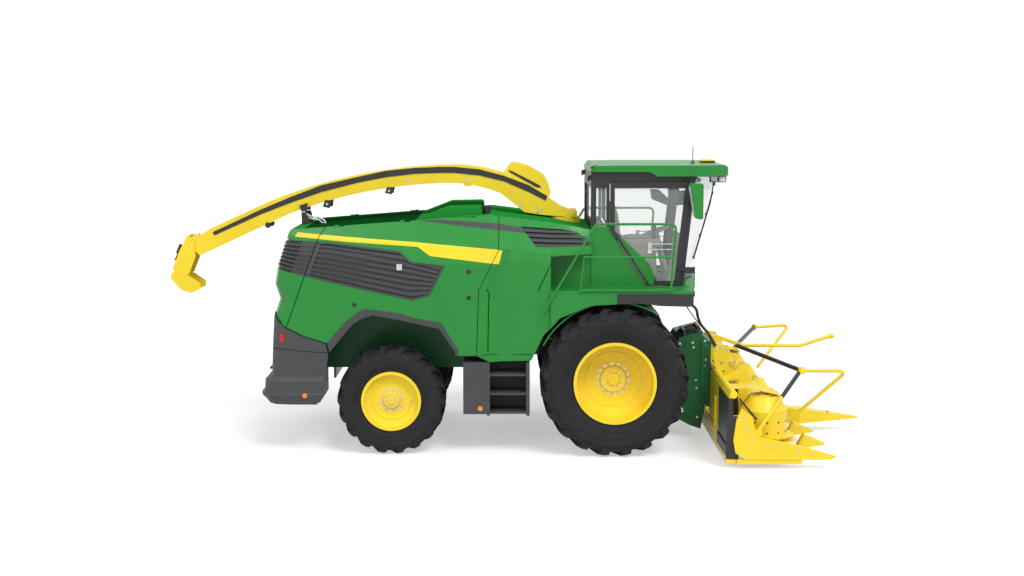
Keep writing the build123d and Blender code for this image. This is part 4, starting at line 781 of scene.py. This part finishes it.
def add_cab_sides():
    for side_name, side in SIDES:
        lamp = Shapes(f"rear_work_lamp_{side_name}", "black", "chassis")
        lamp.slab([(0.9995, 3.71), (0.9995, 3.76), (0.97, 3.76), (0.95, 3.745), (0.95, 3.69), (0.965, 3.68)],
                  side * 0.76, side * 0.88)
        lamp.add()
        handle = Shapes(f"door_handle_{side_name}", "steel", f"door_{side_name}")
        place, _ = side_spot(f"cab_door_{side_name}", 2.0, 2.3, side)
        inside, outside = place.y - side * 0.03, place.y + side * 0.02
        for z in HANDLE_ZS:
            handle.tube([(2.18, inside, z), (2.17, outside, z), (1.83, outside, z)], 0.008)
        handle.slab([(1.77, 2.7), (1.83, 2.7), (1.83, 2.85), (1.78, 2.85)], inside, place.y + side * 0.028)
        handle.add()
        glass = Shapes(f"mirror_glass_{side_name}", "steel", "chassis")
        glass.slab([(2.268, 3.65), (2.337, 3.25), (2.333, 3.25), (2.264, 3.65)],
                   side * 1.435, side * 1.565, bevel=0)
        glass.add()


def add_receiver_dome():
    dome = Shapes("receiver_dome", "yellow", "chassis")
    dome.slab([(2.6, 3.925), (2.8, 3.925), (2.77, 3.945), (2.63, 3.945)], -0.1, 0.1, bevel=0.008)
    dome.add()


add_cab_controls()
add_cab_lining()
add_wiper()
add_cab_sides()
add_receiver_dome()


# Feeder fittings

FEEDER_BOLTS = (
    (2.481, 1.373), (2.493, 1.308), (2.652, 1.4), (2.654, 1.33), (2.669, 1.131),
    (2.659, 1.043), (2.533, 0.833), (2.545, 0.723), (2.614, 0.62), (2.6, 0.45),
    (2.486, 0.334), (2.56, 0.3), (2.3, 1.36), (2.2, 1.2), (2.2, 0.5),
)
FEEDER_Y = 0.45  # half the feeder housing's width
FEEDER_RIBS = (
    # thickness, outline
    (0.02, [(2.58, 0.25), (2.64, 0.3), (2.66, 0.62), (2.66, 1.36), (2.6, 1.44), (2.6, 0.62)]),
    (0.012, [(2.16, 0.55), (2.46, 0.5), (2.5, 0.62), (2.5, 1.24), (2.38, 1.34), (2.2, 1.1)]),
    (0.016, [(2.24, 0.42), (2.5, 0.3), (2.54, 0.36), (2.26, 0.47)]),
)
FEEDER_HOSES = 5
HOSE_PITCH = 0.09


def add_feeder_plates():
    bolts = Shapes("feeder_bolts", "steel", "header")
    ribs = Shapes("feeder_ribs", "dark_green", "header")
    for _, side in SIDES:
        for x, z in FEEDER_BOLTS:
            place, normal = side_spot("feeder_housing", x, z, side)
            if place:
                bolts.bolt(place, normal, 0.011)
        for thickness, outline in FEEDER_RIBS:
            ribs.slab(outline, side * FEEDER_Y, side * (FEEDER_Y + thickness))
    bolts.add()
    ribs.add()


def add_feeder_hoses():
    """Short lines that wave over the housing's top, under two clamps."""
    hoses = Shapes("feeder_hoses", "black", "header")
    for k in range(FEEDER_HOSES):
        line = []
        for x in (2.24, 2.34, 2.44, 2.54, 2.62):
            place, _ = top_spot("feeder_housing", x, HOSE_PITCH * k - 0.4)
            if place:
                sway, rise = 0.03 * math.sin(9 * x + k), 0.026 + 0.02 * math.sin(5 * x + 2 * k) ** 2
                line.append(place + Vector((0, sway, rise)))
        hoses.tube(line, 0.018, 10)
    for x in (2.36, 2.56):
        place, _ = top_spot("feeder_housing", x, -0.22)
        hoses.block(place + Vector((-0.02, -0.22, -0.005)), place + Vector((0.02, 0.22, 0.085)), 0.006)
    hoses.add()


add_feeder_plates()
add_feeder_hoses()


# Header fittings

END_Y = 2.185  # inner face of the header's end plates
BACK_PLATE = [(2.712, 0.16), (2.7395, 0.16), (2.7395, 0.93), (2.728, 0.93), (2.728, 0.32), (2.712, 0.3)]
END_COLUMN = [(2.735, 0.94), (2.79, 0.925), (2.8, 0.7), (2.87, 0.69), (2.88, 0.12), (2.712, 0.13),
              (2.712, 0.32)]
DIVIDER_BOLTS = ((3.309, 0.3), (3.648, 0.24), (3.838, 0.2), (2.986, 0.513), (3.04, 0.393), (2.93, 0.7))
TOWER_BOLTS = ((2.79, 1.3), (2.86, 1.33), (2.95, 1.3), (2.87, 1.12), (2.9, 1.0))
DRUM_X = 3.28
DRUM_YS = (-1.6875, -0.5625, 0.5625, 1.6875)
DRUM_WALL = 0.309
DRUM_BOLT_ZS = (0.42, 0.56)


def add_header_fittings():
    dark = Shapes("header_end_columns", "black", "header")
    steel = Shapes("header_bolts", "steel", "header")
    trim = Shapes("header_trim", "yellow", "header")
    for _, side in SIDES:
        axis = (0, side, 0)
        dark.slab(BACK_PLATE, side * 1.35, side * END_Y, bevel=0)
        dark.slab(END_COLUMN, side * 2.1905, side * 2.2, bevel=0.003)
        dark.slab([(2.885, 0.9), (2.9, 0.918), (3.13, 0.64), (3.11, 0.62)], side * 2.08, side * 2.12)
        joint, foot = Vector((3.712, side * 1.86, 1.215)), Vector((3.13, side * 2.165, 0.49))
        dark.tube([joint, joint.lerp(foot, 0.42)], 0.0275, 16)
        for x, z in DIVIDER_BOLTS:
            place, normal = side_spot("dividers", x, z, side)
            if place:
                steel.bolt(place, normal)
        for x, z in TOWER_BOLTS:
            steel.bolt((x, side * 0.62, z), axis)
        trim.lathe((2.8, side * 2.186, 0.98), axis,
                   [(0, 0.052), (0.008, 0.052), (0.014, 0.045), (0.014, 0.02)])
    dark.tube([(4.497, -0.01, 0.3), (4.62, 0.0, 0.21), (4.7, 0.01, 0.15)], 0.006, 8)
    trim.lathe((4.548, 0, 1.398), (1, 0, 0.25), [(0, 0.036), (0.018, 0.036), (0.026, 0.028), (0.026, 0.012)])
    for piece in (dark, steel, trim):
        piece.add()


def add_drum_fittings():
    up = Vector((0, 0, 1))
    for index, y in enumerate(DRUM_YS):
        body = f"drum_{index + 1}_body"
        top = top_spot(f"drum_{index + 1}", DRUM_X, y)[0].z
        cap = Shapes(f"drum_{index + 1}_cap", "yellow", body)
        cap.lathe((DRUM_X, y, top), up, [(-0.004, 0.13), (0.012, 0.13), (0.018, 0.12), (0.018, 0.04),
                                         (0.03, 0.035), (0.03, 0.01)], 36)
        cap.add()
        bolts = Shapes(f"drum_{index + 1}_bolts", "black", body)
        bolts.bolts((DRUM_X, y, top + 0.018), up, 0.095, 6, 0.009)
        for out in circle(Vector(), Vector((1, 0, 0)), Vector((0, 1, 0)), 1.0, 12):
            for z in DRUM_BOLT_ZS:
                bolts.bolt(Vector((DRUM_X, y, z)) + out * DRUM_WALL, out, 0.009)
        bolts.add()


add_header_fittings()
add_drum_fittings()


# Hoses from the platform to the header

HOSE_STEPS = 12


def hose_line(points):
    """Points along a quadratic curve held at both ends, from its control points."""
    points = [Vector(point) for point in points]
    knots = [points[0]] + [(a + b) / 2 for a, b in zip(points[1:-1], points[2:-1])] + [points[-1]]
    line = [points[0]]
    for start, middle, end in zip(knots, points[1:-1], knots[1:]):
        for step in range(1, HOSE_STEPS + 1):
            t = step / HOSE_STEPS
            line.append(start * (1 - t) ** 2 + middle * (2 * t * (1 - t)) + end * t * t)
    return line


def add_hose(name, points, radius, material):
    line = hose_line(points)
    hose = Shapes(name, material, None).tube(line, radius, 14).add()
    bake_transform(hose)


add_hose("header_hose", [(2.3, -0.9, 2.07), (2.36, -0.9, 2.0), (2.47, -0.9, 1.93), (2.49, -0.86, 1.8),
                         (2.56, -0.76, 1.66), (2.68, -0.63, 1.54), (2.78, -0.61, 1.36)], 0.02, "black")
add_hose("header_cable", [(2.28, -0.84, 2.07), (2.3, -0.83, 2.0), (2.44, -0.78, 1.8), (2.6, -0.7, 1.6),
                          (2.72, -0.64, 1.48), (2.77, -0.64, 1.34)], 0.008, "charcoal")


# Trim on the tyres, the hood, the grille and the chute

REST_PIPES = (
    ((-2.99, -0.2, 3.18), (-2.93, -0.21, 3.15), (-2.82, -0.22, 3.14), (-2.74, -0.24, 3.1),
     (-2.71, -0.25, 3.04)),
    ((-2.99, -0.19, 3.15), (-2.91, -0.2, 3.11), (-2.82, -0.21, 3.1), (-2.76, -0.22, 3.06),
     (-2.75, -0.23, 3.03)),
)
BEHIND = -6  # along X, clear of the chute


def add_sidewall_ribs():
    for axle, x, z, *_ in WHEELS:
        for side_name, side in SIDES:
            body = f"{axle}_wheel_{side_name}"
            ribs = Shapes(f"{body}_sidewall_ribs", "rubber", body)
            for share in RIB_SHARES:
                face = wheel_face(f"{axle}_tyre_{side_name}", x, z, z * share, side)
                ribs.tube(wheel_circle(x, face, z, z * share, 72), 0.006, 8, closed=True)
            ribs.add()


def add_rest_pipes():
    pipes = Shapes("rest_pipes", "pale", "chassis")
    for line in REST_PIPES:
        pipes.tube(line, 0.011)
    pipes.add()


def add_grille_badge():
    """Bare square on the near grille."""
    badge = Shapes("grille_badge", "steel", "shield_right")
    place, _ = side_spot("side_grille_right", -1.587, 2.55, -1)
    badge.block(place + Vector((-0.038, -0.035, -0.03)), place + Vector((0.038, 0.02, 0.055)), 0.008)
    badge.add()


def add_flap_actuator():
    rod = Shapes("flap_actuator", "black", "flap_upper_body")
    high, low = (seat_on("flap_upper", (BEHIND, -0.1, z), (1, 0, 0))[0] for z in (2.74, 2.5))
    high, low = high + Vector((-0.032, 0, 0)), low + Vector((-0.02, 0, 0))
    rod.lathe(high, low - high, [(0, 0.018), (0.01, 0.03), (0.14, 0.03), (0.145, 0.02), (0.15, 0.01),
                                 (0.24, 0.01)])
    for share in (0.12, 0.9):
        place = high.lerp(low, share)
        rod.block(place + Vector((-0.012, -0.02, -0.015)), place + Vector((0.05, 0.02, 0.015)), 0.003)
    rod.add()


add_sidewall_ribs()
add_rest_pipes()
add_grille_badge()
add_flap_actuator()
# the hood deck gets the green with the painted shadow
nodes["hood_deck"].data.materials[0] = materials["deck"]
